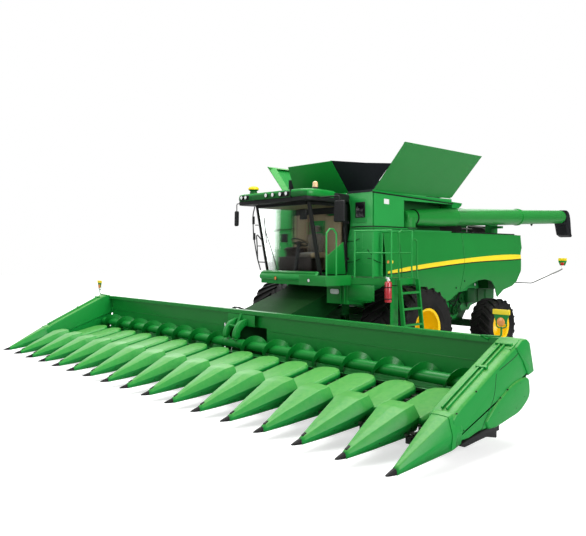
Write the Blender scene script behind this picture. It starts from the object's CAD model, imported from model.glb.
# %% [markdown]
# # A combine harvester with a sixteen row corn header
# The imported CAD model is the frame: every wheel, axle and hinge is already in its place. This
# lesson gives it its looks. Some CAD nodes only need a finish, and others are replaced by
# modelled pieces, such as the tyres with their lugs. Nothing is moved or resized.

# %% Load the frame
from math import cos, pi, radians, sin

import bmesh
import bpy
import numpy as np
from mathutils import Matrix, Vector


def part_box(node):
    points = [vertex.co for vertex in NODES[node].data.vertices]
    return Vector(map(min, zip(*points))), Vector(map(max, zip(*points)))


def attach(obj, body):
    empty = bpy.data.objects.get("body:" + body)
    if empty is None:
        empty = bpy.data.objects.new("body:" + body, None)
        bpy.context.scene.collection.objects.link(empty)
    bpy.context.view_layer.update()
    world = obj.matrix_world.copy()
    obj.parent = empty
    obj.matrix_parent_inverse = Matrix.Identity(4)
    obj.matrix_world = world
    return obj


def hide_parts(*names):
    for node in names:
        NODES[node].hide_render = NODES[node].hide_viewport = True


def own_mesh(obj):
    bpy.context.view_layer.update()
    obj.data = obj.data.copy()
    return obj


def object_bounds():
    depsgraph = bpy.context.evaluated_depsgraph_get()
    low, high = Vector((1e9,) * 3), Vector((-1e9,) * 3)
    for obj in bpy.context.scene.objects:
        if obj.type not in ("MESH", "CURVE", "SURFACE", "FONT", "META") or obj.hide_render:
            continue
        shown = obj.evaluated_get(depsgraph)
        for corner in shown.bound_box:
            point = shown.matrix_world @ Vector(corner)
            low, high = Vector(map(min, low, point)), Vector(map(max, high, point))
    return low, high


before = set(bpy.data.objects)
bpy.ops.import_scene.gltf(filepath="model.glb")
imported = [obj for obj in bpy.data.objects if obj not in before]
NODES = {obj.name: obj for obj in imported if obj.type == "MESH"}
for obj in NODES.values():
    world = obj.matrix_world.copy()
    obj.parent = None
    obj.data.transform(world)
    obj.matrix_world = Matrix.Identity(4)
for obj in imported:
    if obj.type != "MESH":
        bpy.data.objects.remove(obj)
CAD_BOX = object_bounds()

# %% [markdown]
# ## Where things are
# The snout tips are the frontmost points, so depth is counted from there: `at(2.6)` is the row's
# y at 2.6 m behind the tips. `span` gives a node's box as two arrays, so a new piece starts from
# the CAD part that it stands for or sits on.

# %% Places
TIPS = CAD_BOX[0][1]


def at(depth):
    """The row's y at a depth behind the snout tips."""
    return TIPS + depth


def span(node):
    """A CAD node's box as two arrays, its low and its high corner."""
    low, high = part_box(node)
    return np.array(low), np.array(high)


HALF = -CAD_BOX[0][0]
print("length", round(CAD_BOX[1][1] - TIPS, 3), "half width", round(HALF, 3))

# %% [markdown]
# ## A surface is a grid of points
# Every new piece here is a skin: an array of points, and lists of faces between them. `loft`
# joins a stack of closed rings and fills both ends, and it turns the skin outwards if its volume
# comes out negative. Blocks, rods, bent pipes, wheels and moulded panels are all lofts.

# %% Skins from rings
def quads(rows, columns, around):
    """Point (i, j) meets (i, j+1), (i+1, j+1) and (i+1, j); around closes the last column."""
    i, j = np.mgrid[0:rows - 1, 0:columns if around else columns - 1]
    k = (j + 1) % columns
    return np.stack([i * columns + j, i * columns + k, (i + 1) * columns + k, (i + 1) * columns + j],
        axis=-1).reshape(-1, 4)


def volume(points, faces):
    """A sixth of the sum of each fan triangle's triple product with the origin."""
    total = 0.0
    for group in faces:
        a, b, c = points[group[:, :1]], points[group[:, 1:-1]], points[group[:, 2:]]
        total += np.sum(a * np.cross(b, c)) / 6
    return total


def loft(rings, ends=True):
    """Rings of points (rings, around, 3) as a skin. ends=False closes the last ring on the first."""
    rings = np.asarray(rings, float)
    count, around = rings.shape[:2]
    points = rings.reshape(-1, 3)
    if ends:
        lid = np.arange(around)
        faces = [quads(count, around, True), lid[None, ::-1], lid[None] + (count - 1) * around]
    else:
        sides = quads(count + 1, around, True) % (count * around)
        faces = [sides]
    if volume(points - points.mean(0), faces) < 0:
        faces = [group[:, ::-1] for group in faces]
    return points, faces


def join(*skins):
    """Several skins as one: their points are stacked and the later faces count on from there."""
    points, faces, start = [], [], 0
    for p, groups in skins:
        points.append(p)
        faces += [group + start for group in groups]
        start += len(p)
    return np.concatenate(points), faces


def moved(skin, x=0.0, y=0.0, z=0.0):
    """The skin shifted by x, y and z."""
    return skin[0] + np.array([x, y, z]), skin[1]


def repeated(skin, shifts):
    """One copy of the skin at each (x, y, z) shift."""
    return join(*[moved(skin, *shift) for shift in shifts])


def flipped(skin):
    """The mirror image on the machine's right, with its faces turned back outwards."""
    return skin[0] * np.array([-1.0, 1.0, 1.0]), [group[:, ::-1] for group in skin[1]]


def both(skin):
    """The skin and its mirror image."""
    return join(skin, flipped(skin))


print("quads in a 3 by 4 tube:", len(quads(3, 4, True)))

# %% [markdown]
# ## Outlines, rods, pipes and turned parts
# Sheet metal and mouldings have soft corners. `soften` cuts each corner of an outline with a
# quadratic arc, and `drawn_in` shrinks an outline along its own normals, so that a stack of
# slightly smaller outlines gives a pressed panel its rolled edge.

# %% Outline helpers
def soften(outline, radius, steps=4, closed=True):
    """Each corner c between a and b, a radius away on both sides: (1-t)^2 a + 2t(1-t) c + t^2 b."""
    p = np.asarray(outline, float)
    back, ahead = np.roll(p, 1, axis=-2) - p, np.roll(p, -1, axis=-2) - p
    r = np.asarray(radius, float)[..., None] if np.ndim(radius) else radius
    size_b = np.linalg.norm(back, axis=-1, keepdims=True) + 1e-9
    size_a = np.linalg.norm(ahead, axis=-1, keepdims=True) + 1e-9
    a = p + back / size_b * np.minimum(r, size_b * 0.48)
    b = p + ahead / size_a * np.minimum(r, size_a * 0.48)
    t = np.linspace(0, 1, steps)[:, None]
    arcs = ((1 - t) ** 2 * a[..., None, :] + 2 * t * (1 - t) * p[..., None, :] + t ** 2 * b[..., None, :])
    if not closed:
        arcs[..., 0, :, :], arcs[..., -1, :, :] = p[..., :1, :], p[..., -1:, :]
    return arcs.reshape(*p.shape[:-2], -1, p.shape[-1])


def drawn_in(outline, inset):
    """Points moved inwards along the average of their two edges' normals, by inset."""
    p = np.asarray(outline, float)
    edge = np.roll(p, -1, axis=0) - p
    edge /= np.linalg.norm(edge, axis=1, keepdims=True) + 1e-9
    turn = np.sign(np.sum(p[:, 0] * np.roll(p[:, 1], -1) - np.roll(p[:, 0], -1) * p[:, 1]))
    normal = np.stack([-edge[:, 1], edge[:, 0]], axis=1) * turn
    both_edges = normal + np.roll(normal, 1, axis=0)
    both_edges /= np.linalg.norm(both_edges, axis=1, keepdims=True) + 1e-9
    return p + both_edges * inset


AXES = {"x": (1, 2, 0), "y": (0, 2, 1), "z": (0, 1, 2)}


def on_plane(outline, axis, level):
    """A flat outline placed across an axis: (y, z) for x, (x, z) for y and (x, y) for z."""
    outline = np.asarray(outline, float)
    out = np.empty(outline.shape[:-1] + (3,))
    first, second, third = AXES[axis]
    out[..., first], out[..., second], out[..., third] = outline[..., 0], outline[..., 1], level
    return out


def slab(outline, axis, levels, insets=None):
    """The outline at each level along the axis, drawn in by that level's inset."""
    insets = [0.0] * len(levels) if insets is None else insets
    return loft([on_plane(drawn_in(outline, d), axis, level) for level, d in zip(levels, insets)])


def pressed(outline, axis, low, high, edge=0.01, steps=3):
    """A slab whose two faces are rounded over by a quarter circle of radius edge."""
    turn = np.linspace(0, pi / 2, steps)
    levels = np.concatenate([low + edge * (1 - np.sin(turn)), high - edge * (1 - np.sin(turn[::-1]))])
    insets = np.concatenate([edge * (1 - np.cos(turn)), edge * (1 - np.cos(turn[::-1]))])
    order = np.argsort(levels, kind="stable")
    return slab(outline, axis, levels[order], insets[order])


def rectangle(a0, a1, b0, b1, radius=0.0, steps=4):
    """Four corners between a0, a1 and b0, b1, softened when radius isn't zero."""
    corners = [(a0, b0), (a1, b0), (a1, b1), (a0, b1)]
    return soften(corners, radius, steps) if radius else np.array(corners, float)


def block(x, y, z, edge=0.004):
    """A box between the ends of the pairs x, y and z, with rounded edges."""
    low = min(x)
    small = min(edge, (max(x) - low) / 3, abs(y[1] - y[0]) / 3, abs(z[1] - z[0]) / 3)
    outline = rectangle(min(y), max(y), min(z), max(z), small * 1.5, 3)
    return pressed(outline, "x", low, max(x), small)


def across(direction):
    """Two unit vectors square to the direction and to each other."""
    d = np.asarray(direction, float) / np.linalg.norm(direction)
    helper = np.array([0.0, 0, 1]) if abs(d[2]) < 0.9 else np.array([1.0, 0, 0])
    u = np.cross(helper, d)
    u /= np.linalg.norm(u)
    return u, np.cross(d, u)


def lathe(profile, centre, direction=(1, 0, 0), steps=32, hollow=False):
    """Each (distance, radius) of the profile turned: centre + d*distance + radius*(u cos t + v sin t)."""
    profile = np.asarray(profile, float)
    d = np.asarray(direction, float) / np.linalg.norm(direction)
    u, v = across(d)
    t = np.linspace(0, 2 * pi, steps, endpoint=False)
    spokes = np.cos(t)[:, None] * u + np.sin(t)[:, None] * v
    rings = (np.asarray(centre, float) + profile[:, None, :1] * d + profile[:, None, 1:] * spokes[None])
    return loft(rings, ends=not hollow)


def rod(start, end, radius, steps=12, edge=0.0):
    """A straight cylinder from start to end; edge chamfers both ends."""
    start, end = np.asarray(start, float), np.asarray(end, float)
    length = np.linalg.norm(end - start)
    profile = [(0, radius), (length, radius)]
    if edge:
        profile = [(0, radius - edge), (edge, radius), (length - edge, radius), (length, radius - edge)]
    return lathe(profile, start, end - start, steps)


def pipe(route, radius, bend=0.05, steps=10, arc=6):
    """A round pipe along the route, whose corners are softened; each ring is square to the line
    through its neighbours, and turned as little as possible from the ring before it."""
    line = soften(route, bend, arc, closed=False)
    keep = np.concatenate([[True], np.linalg.norm(np.diff(line, axis=0), axis=1) > 1e-5])
    line = line[keep]
    along = np.gradient(line, axis=0)
    along /= np.linalg.norm(along, axis=1, keepdims=True)
    u = across(along[0])[0]
    frames = []
    for d in along:
        u = u - d * np.dot(u, d)
        u = u / np.linalg.norm(u)
        frames.append((u, np.cross(d, u)))
    frames = np.array(frames)
    t = np.linspace(0, 2 * pi, steps, endpoint=False)
    rings = (line[:, None] + radius * (np.cos(t)[None, :, None] * frames[:, :1] + np.sin(t)[None, :, None]
        * frames[:, 1:]))
    return loft(rings)


def bolt(place, direction, size=0.012):
    """A hexagon head: six points a side, with a chamfered top."""
    return lathe([(0, size), (size * 0.9, size), (size * 1.1, size * 0.8)], place, direction, 6)


print("corners of a softened square:", len(rectangle(0, 1, 0, 1, 0.1)))

# %% [markdown]
# ## From arrays to an object
# `make` writes a skin into a Blender mesh in one go, welds points that fall together, keeps
# edges sharper than an angle crisp, and then declares what the object is: which body it rides
# on, which CAD nodes it stands for and which finish it takes.

# %% Mesh writer
def to_mesh(name, skin, sharp=35.0, weld=1e-5):
    """Writes a skin's points and faces as whole arrays and welds points nearer than weld."""
    points, faces = skin
    faces = [np.asarray(group) for group in faces if len(group)]
    mesh = bpy.data.meshes.new(name)
    mesh.vertices.add(len(points))
    mesh.vertices.foreach_set("co", np.asarray(points, np.float32).ravel())
    sizes = np.concatenate([np.full(len(group), group.shape[1]) for group in faces])
    corners = np.concatenate([group.ravel() for group in faces])
    mesh.loops.add(len(corners))
    mesh.loops.foreach_set("vertex_index", corners.astype(np.int32))
    mesh.polygons.add(len(sizes))
    starts = np.concatenate([[0], np.cumsum(sizes)[:-1]])
    mesh.polygons.foreach_set("loop_start", starts.astype(np.int32))
    mesh.update(calc_edges=True)
    mesh.validate()
    if weld:
        held = bmesh.new()
        held.from_mesh(mesh)
        bmesh.ops.remove_doubles(held, verts=held.verts, dist=weld)
        held.to_mesh(mesh)
        held.free()
    mesh.polygons.foreach_set("use_smooth", np.ones(len(mesh.polygons), bool))
    mesh.set_sharp_from_angle(angle=radians(sharp))
    return mesh


def roll_edges(piece, width):
    """A live bevel, width metres wide, along every edge that is sharper than the modifier's limit."""
    edge = piece.modifiers.new("edge", "BEVEL")
    edge.width, edge.segments, edge.limit_method = width, 2, "ANGLE"
    return edge


def make(name, skin, body, material, replaces=(), sharp=35.0, weld=1e-5, bevel=0.0):
    """An object from a skin, declared to the frame: its body and the nodes it stands for."""
    piece = bpy.data.objects.new(name, to_mesh(name, skin, sharp, weld))
    bpy.context.scene.collection.objects.link(piece)
    piece.data.materials.append(material)
    if bevel:
        roll_edges(piece, bevel).angle_limit = radians(sharp)
    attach(piece, body)
    if replaces:
        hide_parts(*replaces)
    return piece


def refinish(node, finish):
    """Gives a kept CAD node this finish alone."""
    mesh = NODES[node].data
    mesh.materials.clear()
    mesh.materials.append(finish)
    return NODES[node]


def paint(piece, material, chosen):
    """Gives a second material to the faces that chosen picks from an array of face centres."""
    mesh = piece.data
    centres = np.empty(len(mesh.polygons) * 3)
    mesh.polygons.foreach_get("center", centres)
    centres = centres.reshape(-1, 3)
    index = np.empty(len(mesh.polygons), np.int32)
    mesh.polygons.foreach_get("material_index", index)
    mesh.materials.append(material)
    index[chosen(centres)] = len(mesh.materials) - 1
    mesh.polygons.foreach_set("material_index", index)
    mesh.update()


print("writer ready")

# %% [markdown]
# ## Finishes
# Colours are sRGB hex values turned to linear light. A paint is mixed from a base colour, a
# slow tone that drifts over the panel, fine grain in the roughness, and dust that settles on
# faces which look up. All of it is worked out from Object coordinates, so it stays put when a
# part moves.

# %% Colour and node helpers
def linear(code):
    """sRGB hex to linear: c/12.92 below 0.04045, otherwise ((c+0.055)/1.055)^2.4."""
    c = np.array([int(code[i:i + 2], 16) for i in (1, 3, 5)]) / 255
    return (*np.where(c <= 0.04045, c / 12.92, ((c + 0.055) / 1.055) ** 2.4), 1.0)


def add(tree, kind, inputs=None, **settings):
    """A node with its settings; an input is a value, or another node's output to link."""
    node = tree.nodes.new(kind)
    for key, value in settings.items():
        setattr(node, key, value)
    for key, value in (inputs or {}).items():
        socket = node.inputs[key]
        if isinstance(value, bpy.types.NodeSocket):
            tree.links.new(value, socket)
        else:
            socket.default_value = value
    return node


def material(name):
    """An empty material with its shader and the Object coordinates that its pattern reads."""
    finish = bpy.data.materials.new(name)
    finish.use_nodes = True
    tree = finish.node_tree
    shader = tree.nodes["Principled BSDF"]
    place = add(tree, "ShaderNodeTexCoord").outputs["Object"]
    return finish, tree, shader, place


def coated(name, base, drift, rough, coat=0.0, metallic=0.0, ior=1.5, grain=0.0015, bump=0.05, dust=0.1,
        dust_colour="#8f8466", patch=0.6, shine=0.5):
    """Base colour mixed with its drift by slow noise patch metres wide, then dust on faces that
    look up; roughness varies with finer noise, and bump follows grain metres wide pits."""
    finish, tree, shader, place = material(name)
    slow = add(tree, "ShaderNodeTexNoise", {"Vector": place, "Scale": 1 / patch, "Detail": 3.0})
    tone = add(tree, "ShaderNodeMix", {"Factor": slow.outputs["Fac"], "A": linear(base),
        "B": linear(drift)}, data_type="RGBA")
    streak = add(tree, "ShaderNodeTexNoise", {"Vector": place, "Scale": 14.0, "Detail": 6.0,
        "Roughness": 0.65})
    face = add(tree, "ShaderNodeNewGeometry").outputs["Normal"]
    up = add(tree, "ShaderNodeSeparateXYZ", {"Vector": face}).outputs["Z"]
    settle = add(tree, "ShaderNodeMapRange", {"Value": up, "From Min": 0.2, "From Max": 1.0, "To Min": 0.0,
        "To Max": 1.0})
    amount = add(tree, "ShaderNodeMath", {0: settle.outputs["Result"], 1: streak.outputs["Fac"]},
        operation="MULTIPLY")
    share = add(tree, "ShaderNodeMath", {0: amount.outputs[0], 1: dust}, operation="MULTIPLY")
    dusty = add(tree, "ShaderNodeMix", {"Factor": share.outputs[0], "A": tone.outputs["Result"],
        "B": linear(dust_colour)}, data_type="RGBA")
    tree.links.new(dusty.outputs["Result"], shader.inputs["Base Color"])
    worn = add(tree, "ShaderNodeMapRange", {"Value": streak.outputs["Fac"], "To Min": rough * 0.8,
        "To Max": rough * 1.25})
    tree.links.new(worn.outputs["Result"], shader.inputs["Roughness"])
    pits = add(tree, "ShaderNodeTexNoise", {"Vector": place, "Scale": 1 / grain, "Detail": 2.0})
    lift = add(tree, "ShaderNodeBump", {"Height": pits.outputs["Fac"], "Strength": bump, "Distance": grain})
    tree.links.new(lift.outputs["Normal"], shader.inputs["Normal"])
    shader.inputs["Metallic"].default_value = metallic
    if metallic < 0.5:
        shader.inputs["IOR"].default_value = ior
        shader.inputs["Specular IOR Level"].default_value = shine
    shader.inputs["Coat Weight"].default_value = coat
    shader.inputs["Coat Roughness"].default_value = 0.08
    return finish


# %% [markdown]
# The green panels are sheet steel with a two-coat enamel: a smooth, slightly wavy gloss. Orange
# peel is about 3 mm wide. The header's covers are rotationally moulded polyethylene, softer in
# gloss and a little lighter. Frames and inner sheets have thinner, duller paint.

# %% Paints, plastics and rubbers
green_enamel = coated("green_enamel_on_steel", "#0f8230", "#0c792c", 0.34, coat=0.08, grain=0.003,
    bump=0.04, dust=0.03, shine=0.28)
green_inner = coated("green_primer_coat_inside", "#0d6326", "#0a5820", 0.45, coat=0.0, grain=0.003,
    bump=0.06, dust=0.05, shine=0.25)
green_frame = coated("green_paint_on_frame", "#0c5421", "#084018", 0.42, grain=0.004, bump=0.1, dust=0.08,
    shine=0.25)
green_moulded = coated("green_moulded_polyethylene", "#128c38", "#0e8332", 0.36, ior=1.51, coat=0.04,
    grain=0.002, bump=0.06, dust=0.4, dust_colour="#a6cf74", shine=0.2)
yellow_enamel = coated("yellow_enamel_on_steel", "#f6ce0a", "#f2c605", 0.36, coat=0.1, grain=0.003,
    bump=0.04, dust=0.04, shine=0.3)
yellow_band = coated("yellow_vinyl_stripe", "#f6dd28", "#f2d41c", 0.38, grain=0.002, bump=0.02, dust=0.03)
black_enamel = coated("black_enamel_on_steel", "#0b0d0d", "#121414", 0.4, grain=0.003, bump=0.06, dust=0.04,
    shine=0.3)
black_moulded = coated("black_moulded_polypropylene", "#0d0e10", "#141517", 0.55, grain=0.0012, bump=0.25,
    dust=0.04, shine=0.3)
brown_moulded = coated("dark_brown_moulded_abs", "#2b2220", "#221a19", 0.55, grain=0.0012, bump=0.2,
    dust=0.05, shine=0.3)
green_fresh = coated("fresh_green_enamel", "#219c45", "#1b923e", 0.36, bump=0.1, coat=0.06, shine=0.35)
auger_green = coated("glossy_auger_enamel", "#12882f", "#0f802c", 0.4, grain=0.003, bump=0.02, coat=0.3,
    dust=0.02, shine=0.25)
tan_moulded = coated("tan_moulded_trim", "#8b7a5e", "#7c6d54", 0.6, grain=0.0015, bump=0.2)
sheet_rubber = coated("black_reinforced_rubber_sheet", "#060b12", "#0a0f16", 0.62, grain=0.004, bump=0.35,
    dust=0.02, shine=0.2)
boot_rubber = coated("black_boot_rubber", "#0a0d12", "#101318", 0.55, grain=0.003, bump=0.2, dust=0.04,
    shine=0.3)
tip_rubber = coated("black_snout_tip_rubber", "#0c0b0d", "#100f11", 0.5, grain=0.002, bump=0.2, dust=0.02,
    shine=0.2)
red_enamel = coated("red_enamel_bottle", "#a8222c", "#b02a33", 0.28, coat=0.4, grain=0.003, bump=0.02,
    dust=0.05)
dark_iron = coated("painted_cast_iron", "#23241f", "#1a1b17", 0.6, metallic=0.2, grain=0.003, bump=0.35,
    dust=0.25)
worn_steel = coated("worn_bright_steel", "#9b9a94", "#7d7c76", 0.34, metallic=1.0, grain=0.002, bump=0.15,
    dust=0.12)
hard_chrome = coated("hard_chrome_rod", "#c9cacb", "#bfc0c2", 0.1, metallic=1.0, grain=0.004, bump=0.01,
    dust=0.0)
cast_aluminium = coated("cast_aluminium", "#8d8d8a", "#7c7c79", 0.45, metallic=0.9, grain=0.003, bump=0.2,
    dust=0.1)
amber_lens = coated("amber_lens_polycarbonate", "#e0892f", "#e2924a", 0.2, coat=0.5, grain=0.006, bump=0.3,
    dust=0.0)
pale_amber = coated("pale_amber_beacon", "#e3b283", "#e7c093", 0.25, coat=0.4, grain=0.008, bump=0.3,
    dust=0.0)
white_lens = coated("clear_lens_over_reflector", "#f2f3f4", "#e9ebec", 0.15, coat=0.6, grain=0.01, bump=0.3,
    dust=0.0)
red_lens = coated("red_reflector", "#c4262c", "#b81f26", 0.2, coat=0.5, grain=0.004, bump=0.3, dust=0.0)
white_plate = coated("white_enamel_plate", "#f0f1f0", "#e6e7e6", 0.35, grain=0.003, bump=0.02, dust=0.02)
print("finishes", len(bpy.data.materials))

# %% [markdown]
# Four finishes need a pattern of their own. Tyre rubber has a faint brown bloom and fine moulding
# grain. The cab's panes are clear with a green-grey tint. Seat cloth is a plain weave whose
# threads, about 0.5 mm in reality, are drawn 3 mm apart so that they show. Deck plates and
# ladder steps have raised oval grips 30 mm apart.

# %% Patterned finishes
THREADS = 330.0     # threads of the drawn weave in a metre
GRIP = 0.03         # metres between the raised grips of a deck plate


def tyre_finish():
    """Near-black rubber: a brown bloom 0.3 m wide, and grain 4 mm wide in roughness and bump."""
    finish, tree, shader, place = material("vulcanised_tyre_rubber")
    bloom = add(tree, "ShaderNodeTexNoise", {"Vector": place, "Scale": 3.0, "Detail": 5.0})
    tone = add(tree, "ShaderNodeValToRGB", {"Fac": bloom.outputs["Fac"]})
    tone.color_ramp.elements[0].position, tone.color_ramp.elements[0].color = 0.35, linear("#0e0e0e")
    tone.color_ramp.elements[1].position, tone.color_ramp.elements[1].color = 0.7, linear("#1b1918")
    tree.links.new(tone.outputs["Color"], shader.inputs["Base Color"])
    grain = add(tree, "ShaderNodeTexNoise", {"Vector": place, "Scale": 260.0, "Detail": 3.0})
    rough = add(tree, "ShaderNodeMapRange", {"Value": grain.outputs["Fac"], "To Min": 0.5, "To Max": 0.72})
    tree.links.new(rough.outputs["Result"], shader.inputs["Roughness"])
    lift = add(tree, "ShaderNodeBump", {"Height": grain.outputs["Fac"], "Strength": 0.3, "Distance": 0.003})
    tree.links.new(lift.outputs["Normal"], shader.inputs["Normal"])
    shader.inputs["Specular IOR Level"].default_value = 0.2
    return finish


def glass_finish():
    """A clear pane with a faint green film; nearly straight rays, so the cab inside shows."""
    finish, tree, shader, place = material("tinted_safety_glass")
    film = add(tree, "ShaderNodeTexNoise", {"Vector": place, "Scale": 5.0, "Detail": 3.0})
    tint = add(tree, "ShaderNodeMix", {"Factor": film.outputs["Fac"], "A": linear("#e6efe9"),
        "B": linear("#dfe9e4")}, data_type="RGBA")
    tree.links.new(tint.outputs["Result"], shader.inputs["Base Color"])
    haze = add(tree, "ShaderNodeMapRange", {"Value": film.outputs["Fac"], "To Min": 0.0, "To Max": 0.03})
    tree.links.new(haze.outputs["Result"], shader.inputs["Roughness"])
    shader.inputs["Transmission Weight"].default_value = 1.0
    shader.inputs["IOR"].default_value = 1.05
    shader.inputs["Alpha"].default_value = 0.35
    return finish


def cloth_finish():
    """Two square sets of threads; the higher one wins, as in a plain weave."""
    finish, tree, shader, place = material("woven_seat_cloth")
    warp, weft = (add(tree, "ShaderNodeTexWave", {"Vector": place, "Scale": THREADS / pi},
        bands_direction=way) for way in "XZ")
    weave = add(tree, "ShaderNodeMath", {0: warp.outputs["Fac"], 1: weft.outputs["Fac"]},
        operation="MAXIMUM")
    tone = add(tree, "ShaderNodeMix", {"Factor": weave.outputs[0], "A": linear("#33302c"),
        "B": linear("#5b554b")}, data_type="RGBA")
    tree.links.new(tone.outputs["Result"], shader.inputs["Base Color"])
    lift = add(tree, "ShaderNodeBump", {"Height": weave.outputs[0], "Strength": 0.5, "Distance": 0.0015})
    tree.links.new(lift.outputs["Normal"], shader.inputs["Normal"])
    shader.inputs["Roughness"].default_value = 0.85
    shader.inputs["Sheen Weight"].default_value = 0.3
    return finish


def gripped(name, base, groove):
    """Raised ovals on a 30 mm grid: the product of a wave across x and one across y."""
    finish, tree, shader, place = material(name)
    parts = add(tree, "ShaderNodeSeparateXYZ", {"Vector": place})
    waves = []
    for axis in ("X", "Y"):
        phase = add(tree, "ShaderNodeMath", {0: parts.outputs[axis], 1: 2 * pi / GRIP},
            operation="MULTIPLY")
        waves.append(add(tree, "ShaderNodeMath", {0: phase.outputs[0]}, operation="COSINE"))
    bumps = add(tree, "ShaderNodeMath", {0: waves[0].outputs[0], 1: waves[1].outputs[0]},
        operation="MULTIPLY")
    height = add(tree, "ShaderNodeMapRange", {"Value": bumps.outputs[0], "From Min": 0.2, "From Max": 0.7})
    tone = add(tree, "ShaderNodeMix", {"Factor": height.outputs["Result"], "A": linear(groove),
        "B": linear(base)}, data_type="RGBA")
    tree.links.new(tone.outputs["Result"], shader.inputs["Base Color"])
    lift = add(tree, "ShaderNodeBump", {"Height": height.outputs["Result"], "Strength": 0.6,
        "Distance": 0.003})
    tree.links.new(lift.outputs["Normal"], shader.inputs["Normal"])
    shader.inputs["Roughness"].default_value = 0.45
    return finish


tyre_rubber = tyre_finish()
pane_glass = glass_finish()
seat_cloth = cloth_finish()
grip_plate = gripped("green_grip_plate", "#1d6e2c", "#114a1b")
print("all finishes", len(bpy.data.materials))

# %% [markdown]
# ## Tyres
# A drive tyre is a hollow ring of rubber with a rounded section, and rows of raised bars, the
# lugs, that run from the middle out to the shoulder in a chevron. The carcass is a turned
# section. A lug is a loft: its four-cornered section travels from the middle to the shoulder,
# sinks with the shoulder's curve and slides round the wheel as it goes.

# %% Tyre
BEAD = 0.034        # how far the tyre's seat lies inside the rim's flange


def tyre(node, name, body, lugs, depth, lug_width):
    """The carcass is the section turned; a lug's angle grows by lean = 0.78 * distance / radius."""
    low, high = span(node)
    centre, radius, half = (low + high) / 2, (high[2] - low[2]) / 2, (high[0] - low[0]) / 2
    seat = span(node.replace("tyre", "rim"))
    rim = (seat[1][2] - seat[0][2]) / 2 - BEAD
    crown = radius - depth
    side = [(-half + 0.066, rim + 0.001), (-half + 0.066, rim + 0.042), (-half + 0.05, rim + 0.055),
        (-half + 0.018, rim + 0.1), (-half + 0.012, rim + 0.125), (-half + 0.006, rim + 0.13),
        (-half, crown - 0.16), (-half + 0.004, crown - 0.09), (-half + 0.03, crown - 0.03),
        (-half + 0.09, crown - 0.006), (-half * 0.45, crown)]
    inside = [(-half + 0.104, rim + 0.001), (-half + 0.06, rim + 0.1), (-half + 0.04, crown - 0.2),
        (-half + 0.1, crown - 0.06)]
    section = side + [(-a, r) for a, r in reversed(side)]
    section += [(-a, r) for a, r in inside] + list(reversed(inside))
    carcass = lathe(section, centre, (1, 0, 0), 96, hollow=True)
    step = np.linspace(0, 1, 9)
    out = 0.012 + step * (half - 0.004)
    drop = np.interp(out, [0, half * 0.75, half - 0.06, half - 0.015, half + 0.02],
        [0, 0.003, 0.012, 0.03, 0.1])
    top = radius - drop
    base = np.minimum(top - 0.004, crown - drop * 0.9 - 0.02)
    width = lug_width * (1 - 0.25 * step) / radius
    lean = 0.78 * out / radius
    parts = []
    for sign, phase in ((1, 0.0), (-1, 0.5)):
        angle = (np.arange(lugs) + phase)[:, None] * 2 * pi / lugs + lean[None]
        corner = np.stack([angle - width, angle - width * 0.62, angle + width * 0.62, angle + width],
            axis=2)
        reach = np.stack([base, top, top, base], axis=1)[None] + corner * 0
        x = centre[0] + np.broadcast_to((sign * np.minimum(out, half - 0.001))[None, :, None], corner.shape)
        rings = np.stack([x, centre[1] + reach * np.cos(corner), centre[2] + reach * np.sin(corner)],
            axis=-1)
        parts += [loft(bar) for bar in rings]
    made = make(name, join(carcass, *parts), body, tyre_rubber, [node], sharp=40)
    print(name, "lugs", 2 * lugs, "faces", len(made.data.polygons))


for side in ("left", "right"):
    tyre(f"front_{side}_tyre", f"front_{side}_drive_tyre", f"front_{side}_wheel", 22, 0.045, 0.052)
    tyre(f"rear_{side}_tyre", f"rear_{side}_steer_tyre", f"rear_{side}_wheel", 20, 0.034, 0.04)

# %% [markdown]
# ## Rims
# The rim is a turned barrel with a flange at each side. The dished disc sits deep inside it and
# is bolted to the hub, whose casting is left in a dull brown. The nuts stand on a circle.

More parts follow.
